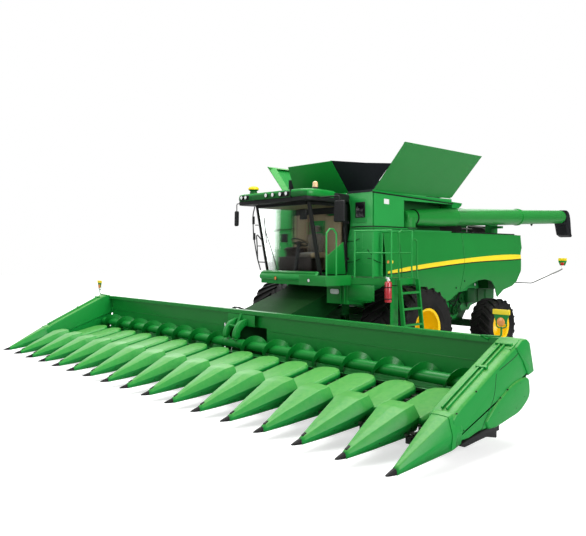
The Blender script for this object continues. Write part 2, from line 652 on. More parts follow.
# %% Rim
def rim(node, name, body, nuts):
    """A turned barrel and disc, nuts at equal angles on a circle, a hub cap and shallow bolt rings."""
    low, high = span(node)
    centre, flange, half = (low + high) / 2, (high[2] - low[2]) / 2, (high[0] - low[0]) / 2
    out = np.sign(centre[0])
    seat, disc, hub = flange - BEAD, -0.12 * (half + 0.056), -0.42 * (half + 0.056)
    bore = 0.115 if half > 0.4 else 0.085
    section = [(-half, flange), (-half + 0.012, flange - 0.002), (-half + 0.016, seat + 0.004),
        (-half + 0.1, seat - 0.004), (-half + 0.14, seat - 0.03), (half - 0.14, seat - 0.03),
        (half - 0.1, seat - 0.004), (half - 0.016, seat + 0.004), (half - 0.012, flange - 0.002),
        (half, flange), (half, flange - 0.016), (half - 0.02, seat - 0.018), (half - 0.1, seat - 0.018),
        (half - 0.15, seat - 0.045), (disc + 0.05, seat - 0.045), (disc + 0.014, seat - 0.07),
        (disc + 0.014, seat * 0.76), (hub + 0.034, seat * 0.54), (hub + 0.028, seat * 0.48),
        (hub + 0.028, bore), (hub, bore), (hub, seat * 0.5), (disc, seat * 0.74), (disc, seat - 0.05),
        (-half + 0.15, seat - 0.045), (-half + 0.1, seat - 0.018), (-half + 0.02, seat - 0.018),
        (-half, flange - 0.016)]
    shell = lathe(np.array(section) * [out, 1], centre, (1, 0, 0), 72, hollow=True)
    t = np.arange(nuts) * 2 * pi / nuts
    ring = (bore + seat * 0.48) / 2
    face = centre[0] + out * (hub + 0.028)
    spots = np.stack([np.full(nuts, face), centre[1] + ring * np.cos(t), centre[2] + ring * np.sin(t)], 1)
    studs = [bolt(spot, (out, 0, 0), 0.017) for spot in spots]
    holes = [lathe([(0.001, 0.001), (0.001, 0.03), (0.004, 0.032), (0.004, 0.001)],
        (centre[0] + out * (disc + 0.0135), centre[1] + seat * 0.86 * np.cos(a),
        centre[2] + seat * 0.86 * np.sin(a)), (out, 0, 0), 16) for a in t[::2]]
    valve = rod((centre[0] + out * (half - 0.16), centre[1] + seat - 0.05, centre[2]),
        (centre[0] + out * (half - 0.09), centre[1] + seat - 0.07, centre[2]), 0.008)
    made = make(name, join(shell, *studs, valve), body, yellow_enamel, [node])
    cap = lathe([(-0.04, bore - 0.006), (0.05, bore - 0.006), (0.075, bore - 0.02), (0.09, bore * 0.55),
        (0.095, bore * 0.5), (0.1, 0.02), (0.1, 0.001)], (face, centre[1], centre[2]), (out, 0, 0), 32)
    make(name + "_hub", join(cap, *holes), body, dark_iron)
    print(name, "nuts", nuts, "faces", len(made.data.polygons))


for side in ("left", "right"):
    rim(f"front_{side}_rim", f"front_{side}_dished_rim", f"front_{side}_wheel", 12)
    rim(f"rear_{side}_rim", f"rear_{side}_dished_rim", f"rear_{side}_wheel", 10)

# %% [markdown]
# ## Snouts, hoods and tips
# Between the rows lie moulded covers: a snout with a flat top that widens rearwards, a rubber
# tip on its nose, and behind it a broader hood that climbs to the auger. Each is one open sheet
# of polyethylene: its section is an arch of seven corners that changes along the length, with
# soft edges, and its last rows close in to a rounded end. Solidify gives the sheet its wall.

# %% Moulded covers
def arch(half_top, half_wide, half_low, z_top, z_wide, z_low):
    """From the left lower edge over the flat top to the right one, for every station at once."""
    one = np.ones_like(half_top)
    x = np.stack([-half_low, -half_wide, -half_top, 0 * one, half_top, half_wide, half_low], 1)
    z = np.stack([z_low, z_wide, z_top, z_top + 0.008, z_top, z_wide, z_low], 1)
    return np.stack([x, z], axis=-1)


def along_row(sections, depths):
    """Flat (x, z) sections, each stood across the row at its own depth behind the tips."""
    p = on_plane(sections, "y", 0.0)
    p[..., 1] = at(depths)[:, None]
    return p


def moulded(rows, steps, nose=0.0, tail=0.0, radius=0.03):
    """Sections between the given rows, softened, with a nose and a tail whose widths shrink as a
    quarter ellipse and whose heights sink with them."""
    rows = np.array(rows)
    y = np.linspace(rows[0, 0], rows[-1, 0], steps)
    if tail:
        y = np.concatenate([y[y < rows[-1, 0] - tail], rows[-1, 0] - tail * (1 - np.sin(np.linspace(0,
            pi / 2, 9)))])
    if nose:
        y = np.concatenate([rows[0, 0] + nose * (1 - np.cos(np.linspace(0, pi / 2, 7))),
            y[y > rows[0, 0] + nose]])
    cols = [np.interp(y, rows[:, 0], rows[:, k]) for k in range(1, 7)]
    keep = np.ones_like(y)
    if tail:
        part = np.clip((y - rows[-1, 0] + tail) / tail, 0, 1)
        keep = keep * np.sqrt(np.clip(1 - part ** 2, 0.0, 1))
    if nose:
        part = np.clip((rows[0, 0] + nose - y) / nose, 0, 1)
        keep = keep * np.sqrt(np.clip(1 - part ** 2, 0.0, 1))
    widths = 0.25 + 0.75 * keep
    section = arch(cols[0] * widths, cols[1] * widths, cols[2] * widths,
        cols[5] + (cols[3] - cols[5]) * (0.86 + 0.14 * keep),
        cols[5] + (cols[4] - cols[5]) * (0.6 + 0.4 * keep), cols[5])
    return along_row(soften(section, radius, 5, closed=False), y)


def closed_ends(p, front, rear):
    """Adds end walls: the end row drawn towards its lower middle in four steps."""
    parts = [p]
    for wanted, row in ((front, 0), (rear, -1)):
        if wanted:
            edge = p[row]
            foot = np.array([0.0, edge[0, 1], edge[0, 2]])
            share = np.array([0.75, 0.5, 0.25, 0.01])[:, None, None]
            wall = foot + (edge - foot) * share
            parts = [wall[::-1]] + parts if row == 0 else parts + [wall]
    return np.concatenate(parts)


def open_skin(p):
    """A grid with its faces turned away from its own middle."""
    rows, columns = p.shape[:2]
    points, faces = p.reshape(-1, 3), quads(rows, columns, False)
    a, b, c = (points[faces[:, k]] for k in (0, 1, 2))
    if np.sum(np.cross(b - a, c - a) * (a - points.mean(0))) < 0:
        faces = faces[:, ::-1]
    return points, [faces]


def covers(name, sheet, places, replaced, wall=0.007):
    """One open sheet repeated at the places along the header, with a wall given by Solidify."""
    piece = make(name, repeated(open_skin(sheet), [(x, ) for x in places]), "feeder", green_moulded,
        replaced, sharp=32)
    shell = piece.modifiers.new("wall", "SOLIDIFY")
    shell.thickness, shell.offset = wall, -1.0
    print(name, len(places), "covers of", sheet.shape[0], "by", sheet.shape[1])
    return piece


tips_low, tips_high = span("snout_tips")
ROW = (tips_high[0] - tips_low[0] - 0.104) / 16
MIDDLES = (np.arange(1, 16) - 8) * ROW
ENDS = np.array([-8, 8]) * ROW
SNOUT_ROWS = [(0.15, 0.02, 0.042, 0.038, 0.19, 0.16, 0.116), (0.5, 0.09, 0.15, 0.118, 0.352, 0.262, 0.158),
    (1.05, 0.205, 0.3, 0.232, 0.582, 0.425, 0.235), (1.318, 0.195, 0.29, 0.245, 0.62, 0.49, 0.31)]
HOOD_ROWS = [(1.324, 0.24, 0.28, 0.283, 0.434, 0.396, 0.34),
    (2.16, 0.252, 0.29, 0.293, 0.604, 0.566, 0.495), (2.357, 0.24, 0.27, 0.28, 0.64, 0.602, 0.53)]
snout_sheet = closed_ends(moulded(SNOUT_ROWS, 22, tail=0.06, radius=0.008), False, True)
hood_sheet = closed_ends(moulded(HOOD_ROWS, 18, nose=0.04, tail=0.2, radius=0.012), True, True)
covers("snout_covers", snout_sheet, MIDDLES, ["snouts"])
covers("row_hood_covers", hood_sheet, MIDDLES, ["row_hoods"])

# %% [markdown]
# Each snout ends in a blunt rubber nose with a lip, and has a short black slot plate behind it
# where the cover hooks onto its frame. Press-in plugs show as small dark dots along the sides.

# %% Tips, slots and plugs
def tip_skin():
    """Sections from a blunt point to the lip, whose half width and height grow as a square root."""
    s = np.linspace(0, 1, 10) ** 1.6
    y = 0.149 * s
    half = 0.01 + 0.031 * np.sqrt(s)
    low, high = 0.134 - 0.018 * np.sqrt(s), 0.14 + 0.05 * s ** 0.8
    ring = soften(np.stack([np.stack([-half, low], 1), np.stack([half, low], 1),
        np.stack([half * 0.9, (low + 2 * high) / 3], 1), np.stack([half * 0.45, high], 1),
        np.stack([-half * 0.45, high], 1), np.stack([-half * 0.9, (low + 2 * high) / 3], 1)], axis=1), 0.02,
        4)
    return loft(along_row(ring, y))


every = [(x,) for x in np.concatenate([MIDDLES, ENDS])]
make("rubber_snout_tips", repeated(tip_skin(), every), "feeder", tip_rubber, ["snout_tips"],
    sharp=50)
lip_points, lip_faces = block((-0.017, 0.017), (at(0.185), at(0.255)), (0.212, 0.229), 0.003)
climb = np.array([0, 0, 1]) * (lip_points[:, 1:2] - at(0.185)) * 0.42
slot_plate = moved((lip_points + climb, lip_faces), z=-0.004)


def side_dot(depth, share):
    """A plug on the cover's left side, at a share of the height between its low and wide edges."""
    row = [np.interp(depth, [r[0] for r in SNOUT_ROWS], [r[k] for r in SNOUT_ROWS]) for k in range(1, 7)]
    x = row[2] + (row[1] - row[2]) * share
    z = row[5] + (row[4] - row[5]) * share
    slope = np.array([row[4] - row[5], 0, -(row[1] - row[2])])
    return lathe([(-0.004, 0.009), (0.002, 0.009), (0.004, 0.006)], (x, at(depth), z), slope, 10)


plugs = both(join(side_dot(0.95, 0.35), side_dot(1.12, 0.5), side_dot(0.62, 0.5)))
make("snout_hooks_and_plugs", repeated(join(slot_plate, plugs), [(x, ) for x in MIDDLES]), "feeder",
    black_moulded)
print("tips", len(every))

# %% [markdown]
# ## Row units
# In each row two deck plates lie either side of the stalk slot, under a pair of gathering chains.
# A chain is an oval loop of links that climbs with the deck, and every third link carries a
# raised paddle. One loop is worked out and repeated for both sides of the sixteen rows.

# %% Gathering chains
def deck_height(depth):
    """The deck plates' height: straight lines between three depths."""
    return np.interp(depth, [0.98, 1.34, 2.24], [0.272, 0.327, 0.492])


def chain_loop(links, inner, outer, front, rear):
    """Links at equal steps round a flat oval: a straight run out, half a turn, a run back."""
    mid, turn = (inner + outer) / 2, (outer - inner) / 2
    run = rear - front - 2 * turn
    length = 2 * run + 2 * pi * turn
    s = (np.arange(links) + 0.5) / links * length
    a1 = (s - run) / turn
    a2 = (s - 2 * run - pi * turn) / turn
    x = np.select([s < run, s < run + pi * turn, s < 2 * run + pi * turn],
        [inner + 0 * s, mid - turn * np.cos(a1), outer + 0 * s], mid + turn * np.cos(a2))
    y = np.select([s < run, s < run + pi * turn, s < 2 * run + pi * turn],
        [front + turn + s, rear - turn + turn * np.sin(a1), rear - turn - (s - run - pi * turn)],
        front + turn - turn * np.sin(a2))
    heading = np.select([s < run, s < run + pi * turn, s < 2 * run + pi * turn], [0 * s, a1, pi + 0 * s],
        pi + a2)
    parts = []
    for k in range(links):
        paddle = k % 3 == 0
        size = np.array([0.024 if paddle else 0.016, 0.016, 0.03 if paddle else 0.012])
        ring = rectangle(-size[0], size[0] * (2.0 if paddle and s[k] < run else 1.0), -size[1], size[1])
        c, w = np.cos(-heading[k]), np.sin(-heading[k])
        turned = ring @ np.array([[c, w], [-w, c]])
        base = deck_height(y[k]) + 0.004
        flat = np.array([x[k], y[k]]) + turned
        flat[:, 1] = at(flat[:, 1])
        parts.append(loft([on_plane(flat, "z", base), on_plane(flat, "z", base + size[2])]))
    return join(*parts)


chain = chain_loop(44, 0.045, 0.15, 1.0, 2.2)
slots_x = (np.arange(16) - 7.5) * ROW
make("gathering_chains", repeated(both(chain), [(x, ) for x in slots_x]), "feeder", worn_steel)
units = refinish("row_units", green_frame)
paint(units, black_enamel, lambda c: (np.abs(c[:, 0]) > 5.9) | (c[:, 1] < at(1.33)))
print("chains", 2 * len(slots_x))

# %% [markdown]
# ## End dividers
# At each end stands a tall moulded shield. Its side outline is softened, and the outline is
# drawn in step by step near both faces, so the edges roll over. On it lie a raised band where
# the snout meets the shield, two rails along the ridge with a clamp, and an oval cover over the
# auger's drive. The snout of the divider is a moulded cover of its own.

# %% End dividers
low, high = span("end_dividers")
FACE = high[0]
RIDGE = np.array([(1.03, 0.655), (2.52, 1.352)])
SHIELD = [(1.03, 0.3), (1.03, 0.6), (1.16, 0.7), (2.42, 1.285), (2.66, 1.392), (2.79, 1.396), (2.875, 1.34),
    (3.005, 0.93), (2.84, 0.885), (2.86, 0.6), (2.7, 0.44), (2.05, 0.335), (1.62, 0.335), (1.4, 0.29)]


def deep(outline):
    """Depths behind the tips turned into the row's y."""
    outline = np.array(outline, float)
    outline[:, 0] = at(outline[:, 0])
    return outline


shield_line = soften(deep(SHIELD), np.array([0.03, 0.05, 0.2, 0.3, 0.1, 0.05, 0.05, 0.02, 0.02, 0.15, 0.1,
    0.1, 0.08, 0.05]), 6)
turn = np.linspace(0, pi / 2, 6)
FAT, THIN = 0.075, 0.03
body_levels = np.concatenate([5.915 + THIN * (1 - np.sin(turn)),
    FACE - 0.026 - FAT * (1 - np.sin(turn[::-1]))])
body_insets = np.concatenate([THIN * (1 - np.cos(turn)), FAT * (1 - np.cos(turn[::-1])) * 0.6])
order = np.argsort(body_levels)
shield_skin = slab(shield_line, "x", body_levels[order], body_insets[order])
make("end_shields", both(shield_skin), "feeder", green_moulded, ["end_dividers"], sharp=40)

DIVIDER_ROWS = [(0.15, 0.02, 0.042, 0.038, 0.19, 0.16, 0.116),
    (0.6, 0.075, 0.118, 0.105, 0.418, 0.3, 0.178), (1.04, 0.125, 0.184, 0.165, 0.64, 0.43, 0.235),
    (1.29, 0.125, 0.186, 0.165, 0.7, 0.44, 0.3)]
covers("divider_snouts", closed_ends(moulded(DIVIDER_ROWS, 22, tail=0.09, radius=0.012), False, True), ENDS,
    [])


def collar(depth, width, grow, rows):
    """The divider's arch grown by a few millimetres and drawn along a short length: the seam band."""
    y = np.array([depth - width / 2, depth - width / 2, depth + width / 2, depth + width / 2])
    rows = np.array(rows)
    cols = [np.interp(y, rows[:, 0], rows[:, k]) for k in range(1, 7)]
    g = np.array([0.0, grow, grow, 0.0])
    section = arch(cols[0] + g, cols[1] + g, cols[2] + g, cols[3] + g, cols[4], cols[5] + 0.01)
    inner = arch(cols[0] - 0.01, cols[1] - 0.01, cols[2] - 0.01, cols[3] - 0.012, cols[4], cols[5] + 0.01)
    ring = np.concatenate([soften(section, 0.028, 5, closed=False),
        soften(inner, 0.028, 5, closed=False)[:, ::-1]], axis=1)
    return loft(along_row(ring, y))


bands = collar(1.045, 0.075, 0.009, DIVIDER_ROWS)
ridge = deep(RIDGE)
run = (ridge[1] - ridge[0]) / np.linalg.norm(ridge[1] - ridge[0])
up = np.array([-run[1], run[0]])


def ridge_bar(x0, x1, start, stop, low_rise, rise):
    """A bar on the ridge: a rectangle drawn along the ridge's line, raised along its normal."""
    length = np.linalg.norm(ridge[1] - ridge[0])
    corners = [ridge[0] + run * length * start + up * low_rise, ridge[0] + run * length * start + up * rise,
        ridge[0] + run * length * stop + up * rise, ridge[0] + run * length * stop + up * low_rise]
    return pressed(soften(corners, 0.012, 3), "x", x0, x1, 0.006)


mid = 6.096
rails = join(ridge_bar(mid - 0.06, mid - 0.035, 0.06, 0.97, -0.03, 0.013),
    ridge_bar(mid + 0.01, mid + 0.035, 0.06, 0.97, -0.03, 0.013),
    ridge_bar(mid - 0.09, mid + 0.07, 0.61, 0.638, -0.05, 0.024),
    ridge_bar(mid - 0.12, mid + 0.12, 0.972, 1.0, -0.05, 0.018))
oval_mid = soften(deep([(2.86, 0.86), (2.905, 0.6), (2.62, 0.425), (1.98, 0.328), (1.8, 0.345),
    (1.74, 0.44), (2.03, 0.655), (2.4, 0.83), (2.7, 0.885)]),
    np.array([0.06, 0.12, 0.12, 0.08, 0.05, 0.05, 0.1, 0.12, 0.1]), 6)
turn = np.linspace(0, pi / 2, 5)
oval = slab(oval_mid, "x", np.concatenate([[FACE - 0.12], FACE - 0.03 * (1 - np.sin(turn)) - 0.001]),
    np.concatenate([[0.0], 0.03 * (1 - np.cos(turn))]))
cap = pressed(soften(deep([(2.5, 1.3), (2.655, 1.388), (2.79, 1.396), (2.878, 1.338), (3.008, 0.928),
    (2.845, 0.888), (2.7, 1.1)]), 0.02, 4), "x", 5.975, FACE - 0.01, 0.016)
cap_strip = pressed(soften(deep([(2.42, 1.29), (2.66, 1.395), (2.8, 1.398), (2.8, 1.37), (2.66, 1.365),
    (2.44, 1.265)]), 0.01, 3), "x", 5.96, 6.24, 0.006)
make("divider_bands_rails_and_covers", both(join(moved(bands, x=mid), rails, oval, cap, cap_strip)),
    "feeder", green_moulded, sharp=40)

DOTS = [(1.12, 0.66), (1.27, 0.43), (1.07, 0.31), (1.55, 0.86), (2.1, 0.7), (2.28, 0.78), (2.46, 0.74),
    (2.6, 0.82), (2.72, 0.62), (2.5, 0.5), (2.15, 0.4), (2.05, 0.52)]
dots = [lathe([(-0.01, 0.01), (0.002, 0.01), (0.004, 0.006)],
    (FACE - (0.024 if k < 4 else 0.0045), at(y), z), (1, 0, 0), 10) for k, (y, z) in enumerate(DOTS)]
groove = pipe([(FACE - 0.026, at(2.66), 1.352), (FACE - 0.0265, at(2.6), 1.21),
    (FACE - 0.0265, at(2.1), 1.055)], 0.005, 0.2)
groove_low = pipe([(FACE - 0.0265, at(2.02), 1.02), (FACE - 0.0265, at(1.98), 0.72),
    (FACE - 0.0265, at(1.8), 0.52), (FACE - 0.0265, at(1.66), 0.34)], 0.004, 0.2)
make("divider_plugs_and_seams", both(join(groove, groove_low, *dots)), "feeder", black_moulded)
apron = pressed(soften(deep([(1.2, 0.262), (1.42, 0.3), (1.8, 0.345), (2.05, 0.34), (2.05, 0.185),
    (1.8, 0.245), (1.6, 0.235), (1.3, 0.215)]), 0.02, 3), "x", 6.0, FACE - 0.03, 0.006)
make("divider_aprons", both(apron), "feeder", black_moulded)
print("divider face at", round(FACE, 3))

# %% [markdown]
# ## Cross auger
# The auger gathers the crop from both ends towards the middle, so its two flights are helices of
# opposite hand. A flight is a loft: a thin four-cornered section that turns round the tube while
# it moves along it. Retracting fingers stand between the flights, in front of the throat.

# %% Cross auger
low, high = span("header_auger")
AUGER = (low + high) / 2
FLIGHT_R, TUBE_RADIUS = 0.213, 0.095
TUBE_END = high[0]
PITCH = 0.68


def flight(start, stop, pitch, turn0):
    """x = start + pitch*t/2pi, and the section's corners at radii inner and outer, turned by t."""
    turns = abs(stop - start) / pitch
    t = np.linspace(0, 2 * pi * turns, int(turns * 30) + 1)
    x = start + (stop - start) * t / t[-1]
    radii = np.array([TUBE_RADIUS - 0.01, FLIGHT_R, FLIGHT_R, TUBE_RADIUS - 0.01])
    shift = np.array([-0.005, -0.003, 0.003, 0.005])
    angle = (turn0 - t * np.sign(stop - start))[:, None]
    return loft(np.stack([x[:, None] + shift, AUGER[1] + radii * np.cos(angle),
        AUGER[2] + radii * np.sin(angle)], axis=-1))


core = lathe([(-TUBE_END, TUBE_RADIUS), (TUBE_END, TUBE_RADIUS)], AUGER, steps=40)
seams = [lathe([(x - 0.012, TUBE_RADIUS), (x - 0.01, TUBE_RADIUS + 0.006), (x + 0.01, TUBE_RADIUS + 0.006),
    (x + 0.012, TUBE_RADIUS)], AUGER, steps=40) for x in (-0.31, 0.31, -5.6, 5.6)]
fingers = []
for k, x in enumerate(np.linspace(-0.24, 0.24, 6)):
    a = k * 2.2
    side = np.array([0, np.cos(a), np.sin(a)])
    fingers.append(rod(AUGER + side * 0.09 + [x, 0, 0], AUGER + side * 0.205 + [x, 0, 0], 0.009, 8, 0.003))
rotor = join(core, flight(5.7, 0.33, PITCH, -1.05), flight(-5.7, -0.33, PITCH, -1.05), *seams)
make("cross_auger_flights", rotor, "cross_auger", green_enamel, ["header_auger"], sharp=50)
make("auger_fingers", join(*fingers), "cross_auger", worn_steel)
print("flight pitch", PITCH)

# %% [markdown]
# ## Header frame
# The frame itself comes from the CAD and only gets its paint. On it go the pressed ribs behind
# the back sheet, the row of bolts under the top beam, the curved hanger that holds the auger in
# the middle, and hoses and brackets at the throat.

# %% Header frame details
beam_y = at(2.77)
refinish("header_frame", green_enamel)
ribs = [block((x - 0.02, x + 0.02), (at(2.874), at(2.905)), (0.5, 1.285), 0.004) for x in np.arange(-5.6,
    5.7, 0.8) if abs(x) > 0.95 and min(abs(abs(x) - 3), abs(abs(x) - 5)) > 0.1]
fold = [block((-5.88, -0.8), (at(2.852), at(2.864)), (0.985, 1.0), 0.004),
    block((0.8, 5.88), (at(2.852), at(2.864)), (0.985, 1.0), 0.004)]
heads = [bolt((x, beam_y, 1.322), (0, -1, 0), 0.011) for x in np.arange(-5.7, 5.71, 0.38)]
make("back_sheet_ribs_and_bolts", join(*ribs, *fold, *heads), "feeder", green_enamel)
hook = soften([(at(2.775), 1.2), (at(2.6), 1.155), (at(2.475), 1.02), (at(2.43), 0.845), (at(2.5), 0.8),
    (at(2.56), 0.87), (at(2.6), 0.965), (at(2.7), 1.045), (at(2.775), 1.06)],
    np.array([0.01, 0.1, 0.1, 0.06, 0.03, 0.06, 0.06, 0.06, 0.01]), 6)
hangers = [pressed(hook, "x", x - 0.05, x + 0.05, 0.006) for x in (-0.16, 0.16)]
brace = pipe([(-0.15, at(2.56), 1.06), (0.15, at(2.56), 1.06)], 0.022)
foot_plate = block((-0.45, 0.45), (at(2.763), at(2.775)), (1.05, 1.28), 0.003)
make("auger_hangers", join(*hangers, brace, foot_plate), "feeder", green_enamel)
hoses = [pipe([(x, at(2.93), 1.34), (x, at(3.02), 1.4), (x + 0.03, at(3.2), 1.33),
    (x + 0.05, at(3.34), 1.3)], 0.013, 0.08) for x in (-0.56, -0.51, -0.46)]
make("header_hoses", join(*hoses), "feeder", black_moulded)
print("ribs", len(ribs), "bolts", len(heads))

# %% [markdown]
# ## End markers
# A bent arm at each end of the header carries a green plate with a bright yellow top strip and a
# round amber lamp.

# %% End markers
low, high = span("header_markers")
arm_x, plate_top = (high[0] + high[0] - 0.256) / 2, high[2]
arm = pipe([(5.705, at(2.766), 1.345), (5.705, at(2.74), 1.345), (5.705, at(2.555), 1.412),
    (arm_x, at(2.55), 1.428), (arm_x, at(2.55), 1.56)], 0.013, 0.04)
yoke = pipe([(arm_x - 0.075, at(2.55), 1.64), (arm_x - 0.075, at(2.55), 1.545),
    (arm_x + 0.075, at(2.55), 1.545), (arm_x + 0.075, at(2.55), 1.64)], 0.009, 0.07)
plate = pressed(soften([(arm_x - 0.075, 1.604), (arm_x + 0.075, 1.604), (arm_x + 0.108, 1.715),
    (arm_x + 0.125, plate_top - 0.002), (arm_x - 0.125, plate_top - 0.002), (arm_x - 0.108, 1.715)], 0.01,
    4), "y", at(2.54), at(2.552), 0.002)
make("marker_arms_and_plates", both(join(arm, yoke, plate)), "feeder", green_enamel,
    ["header_markers"])
strip = pressed(rectangle(arm_x - 0.126, arm_x + 0.126, plate_top - 0.07, plate_top - 0.001, 0.006, 3), "y",
    at(2.5365), at(2.5535), 0.001)
make("marker_reflector_strips", both(strip), "feeder", yellow_band)
disc = lathe([(0.0, 0.058), (0.006, 0.06), (0.014, 0.056), (0.02, 0.04), (0.023, 0.018), (0.0235, 0.001)],
    (arm_x, at(2.5395), 1.628), (0, -1, 0), 28)
make("marker_lamps", both(disc), "feeder", amber_lens)
print("plates at", round(arm_x, 3))

# %% [markdown]
# ## Cab roof
# The roof is a moulded lid, wider than the cab, with rounded front corners and a crowned top. Its
# plan outline is softened and stacked: drawn in at the bottom lip, full at the brow, and shrunk
# towards its middle over the crown. The front brow carries two dark lamp pockets.

# %% Cab roof
low, high = span("cab_roof")
roof_low, roof_high = low[2], high[2]
plan = soften([(-1.055, at(3.522)), (1.055, at(3.522)), (1.188, at(3.66)), (1.188, at(3.92)),
    (1.055, at(4.53)), (0.95, at(4.62)), (-0.95, at(4.62)), (-1.055, at(4.53)), (-1.188, at(3.92)),
    (-1.188, at(3.66))], np.array([0.12, 0.12, 0.12, 0.1, 0.1, 0.1, 0.1, 0.1, 0.1, 0.12]), 7)
brow = [(0.085, 0.03), (0.095, 0.012), (0.115, 0.003), (0.15, 0.0), (0.19, 0.004), (0.228, 0.018),
    (0.243, 0.05)]
rings = [on_plane(drawn_in(plan, inset), "z", roof_low + rise) for rise, inset in brow]
crown = rings[-1].mean(axis=0)
shrunk = [(0.85, 0.006), (0.5, 0.01), (0.02, 0.011)]
rings += [crown + (rings[-1] - crown) * [share, share, 1] + [0, 0, rise] for share, rise in shrunk]
lid = make("cab_roof_moulding", loft(rings), "chassis", green_enamel, ["cab_roof"],
    sharp=45)
paint(lid, green_inner, lambda c: (c[:, 1] < at(3.6)) & (c[:, 2] < roof_low + 0.205))
tail_plan = soften([(1.075, at(4.4)), (1.02, at(4.9)), (0.95, at(5.078)), (-0.95, at(5.078)),
    (-1.02, at(4.9)), (-1.075, at(4.4))], 0.06, 5)
roof_tail = pressed(tail_plan, "z", roof_low + 0.03, roof_low + 0.205, 0.03, 5)

visor = pressed(soften([(-1.1, at(3.56)), (1.1, at(3.56)), (1.155, at(3.68)), (1.155, at(3.95)),
    (0.99, at(4.93)), (-0.99, at(4.93)), (-1.155, at(3.95)), (-1.155, at(3.68))], 0.06, 4), "z",
    roof_low + 0.0002, roof_low + 0.098, 0.02)


def in_brow(x0, x1, low, high, widen, front):
    """A plate in the roof's front edge from x0 to x1, between two rises above the roof's foot."""
    outline = [(x0, roof_low + low[0]), (x1, roof_low + low[1]), (x1 + widen, roof_low + high),
        (x0 - 0.01, roof_low + high)]
    return pressed(soften(outline, 0.02, 4), "y", at(front), at(3.6), 0.004)


pockets = [in_brow(x0, x1, (0.088, 0.082), 0.195, 0.03, 3.512) for x0, x1 in ((-0.56, -0.12), (0.02, 0.36))]
recess = [in_brow(x0, x1, (0.098, 0.098), 0.205, 0.01, 3.514) for x0, x1 in ((-0.97, -0.68), (0.36, 0.66))]
gap = block((0.685, 0.705), (at(3.518), at(3.75)), (roof_low + 0.06, roof_high - 0.02), 0.003)
make("roof_visor_and_pockets", join(visor, gap, roof_tail, *recess), "chassis", black_moulded)
make("roof_lamp_panels", join(*pockets), "chassis", green_inner)
print("roof", round(high[0] - low[0], 3), "wide")

# %% [markdown]
# ## Lamps
# Each work lamp is a turned bowl with a bezel, a clear domed lens and a bright ring inside. The
# roof lamps take their height and front face from the CAD lamps. One more stands at the cab's left
# foot, and an amber one sits in the sill.

# %% Lamps
low, high = span("lamps")
LENS_Y = low[1]


def work_lamp(x, z, radius, face):
    """A lamp's bowl and its lens, both turned about the y axis at the face."""
    bowl = lathe([(0.034, 0.01), (0.03, radius * 0.8), (0.006, radius), (0.0, radius), (0.0, radius * 0.86),
        (0.006, radius * 0.84), (0.01, 0.01)], (x, face, z), (0, 1, 0), 24, hollow=True)
    lens = lathe([(0.0055, radius * 0.85), (0.003, radius * 0.8), (0.001, radius * 0.55),
        (0.0, radius * 0.1), (0.004, radius * 0.08), (0.0075, radius * 0.85)], (x, face, z), (0, 1, 0), 24,
        hollow=True)
    return bowl, lens


roof_x = [-0.9, -0.75, -0.05, 0.17, 0.41, 0.6]
spots = [(x, high[2] - 0.042, 0.05, LENS_Y) for x in roof_x] + [(1.195, 2.0, 0.045, at(3.566))]
pairs = [work_lamp(*spot) for spot in spots]
make("work_lamp_bowls", join(*[p[0] for p in pairs]), "chassis", black_moulded, ["lamps"])
make("work_lamp_lenses", join(*[p[1] for p in pairs]), "chassis", white_lens)
turn_lamp = work_lamp(-0.34, 1.99, 0.045, at(4.009))
make("turn_lamp_lens", turn_lamp[1], "chassis", amber_lens)
make("turn_lamp_bezel", turn_lamp[0], "chassis", dark_iron)

# %% [markdown]
# The beacon and the receiver are turned domes of polycarbonate on black and green feet, so a
# profile spun round their axis gives them. Mirror heads are softened outlines pressed to a shell,
# with a silvered sheet on the face.

# %% Beacon, receiver and mirrors
low, high = span("beacon")
centre = (low + high) / 2
dome = lathe([(0.034, 0.056), (0.08, 0.057), (0.125, 0.053), (0.145, 0.044), (0.155, 0.028), (0.159, 0.01),
    (0.159, 0.001)], (centre[0], centre[1], low[2]), (0, 0, 1), 32)
base = lathe([(0.0, 0.064), (0.018, 0.064), (0.028, 0.058), (0.034, 0.05)], (centre[0], centre[1], low[2]),
    (0, 0, 1), 32)
make("beacon_dome", dome, "chassis", pale_amber, ["beacon"])
make("beacon_base", base, "chassis", black_moulded)

low, high = span("receiver")
centre = (low + high) / 2
shell = lathe([(0.085, 0.122), (0.1, 0.124), (0.125, 0.118), (0.148, 0.095), (0.162, 0.058), (0.168, 0.02),
    (0.168, 0.001)], (centre[0], centre[1], low[2]), (0, 0, 1), 40)
foot = lathe([(0.0, 0.085), (0.012, 0.088), (0.05, 0.075), (0.075, 0.105), (0.085, 0.121)],
    (centre[0], centre[1], low[2]), (0, 0, 1), 40)
make("receiver_dome", shell, "chassis", yellow_enamel, ["receiver"])
make("receiver_foot", foot, "chassis", green_inner)

left_head = pressed(soften([(1.652, 3.175), (1.915, 3.172), (1.928, 3.605), (1.665, 3.608)], 0.05, 6), "y",
    at(3.812), at(3.884), 0.025, 5)
left_arm = pipe([(1.79, at(3.85), 3.59), (1.79, at(3.85), 3.7), (1.19, at(3.85), 3.7)], 0.014, 0.05)
right_head = pressed(soften([(-1.418, 3.182), (-1.3, 3.182), (-1.285, 3.53), (-1.405, 3.538)], 0.04, 6),
    "y", at(3.672), at(3.728), 0.02, 5)
right_arm = pipe([(-1.345, at(3.7), 3.52), (-1.345, at(3.7), 3.7), (-1.19, at(3.7), 3.7)], 0.011, 0.04)
ribs = [block((1.69, 1.89), (at(3.8105), at(3.814)), (z, z + 0.008), 0.001) for z in (3.26, 3.4, 3.54)]
make("mirror_heads_and_arms", join(left_head, left_arm, right_head, right_arm, *ribs), "chassis",
    black_moulded, ["mirrors"])
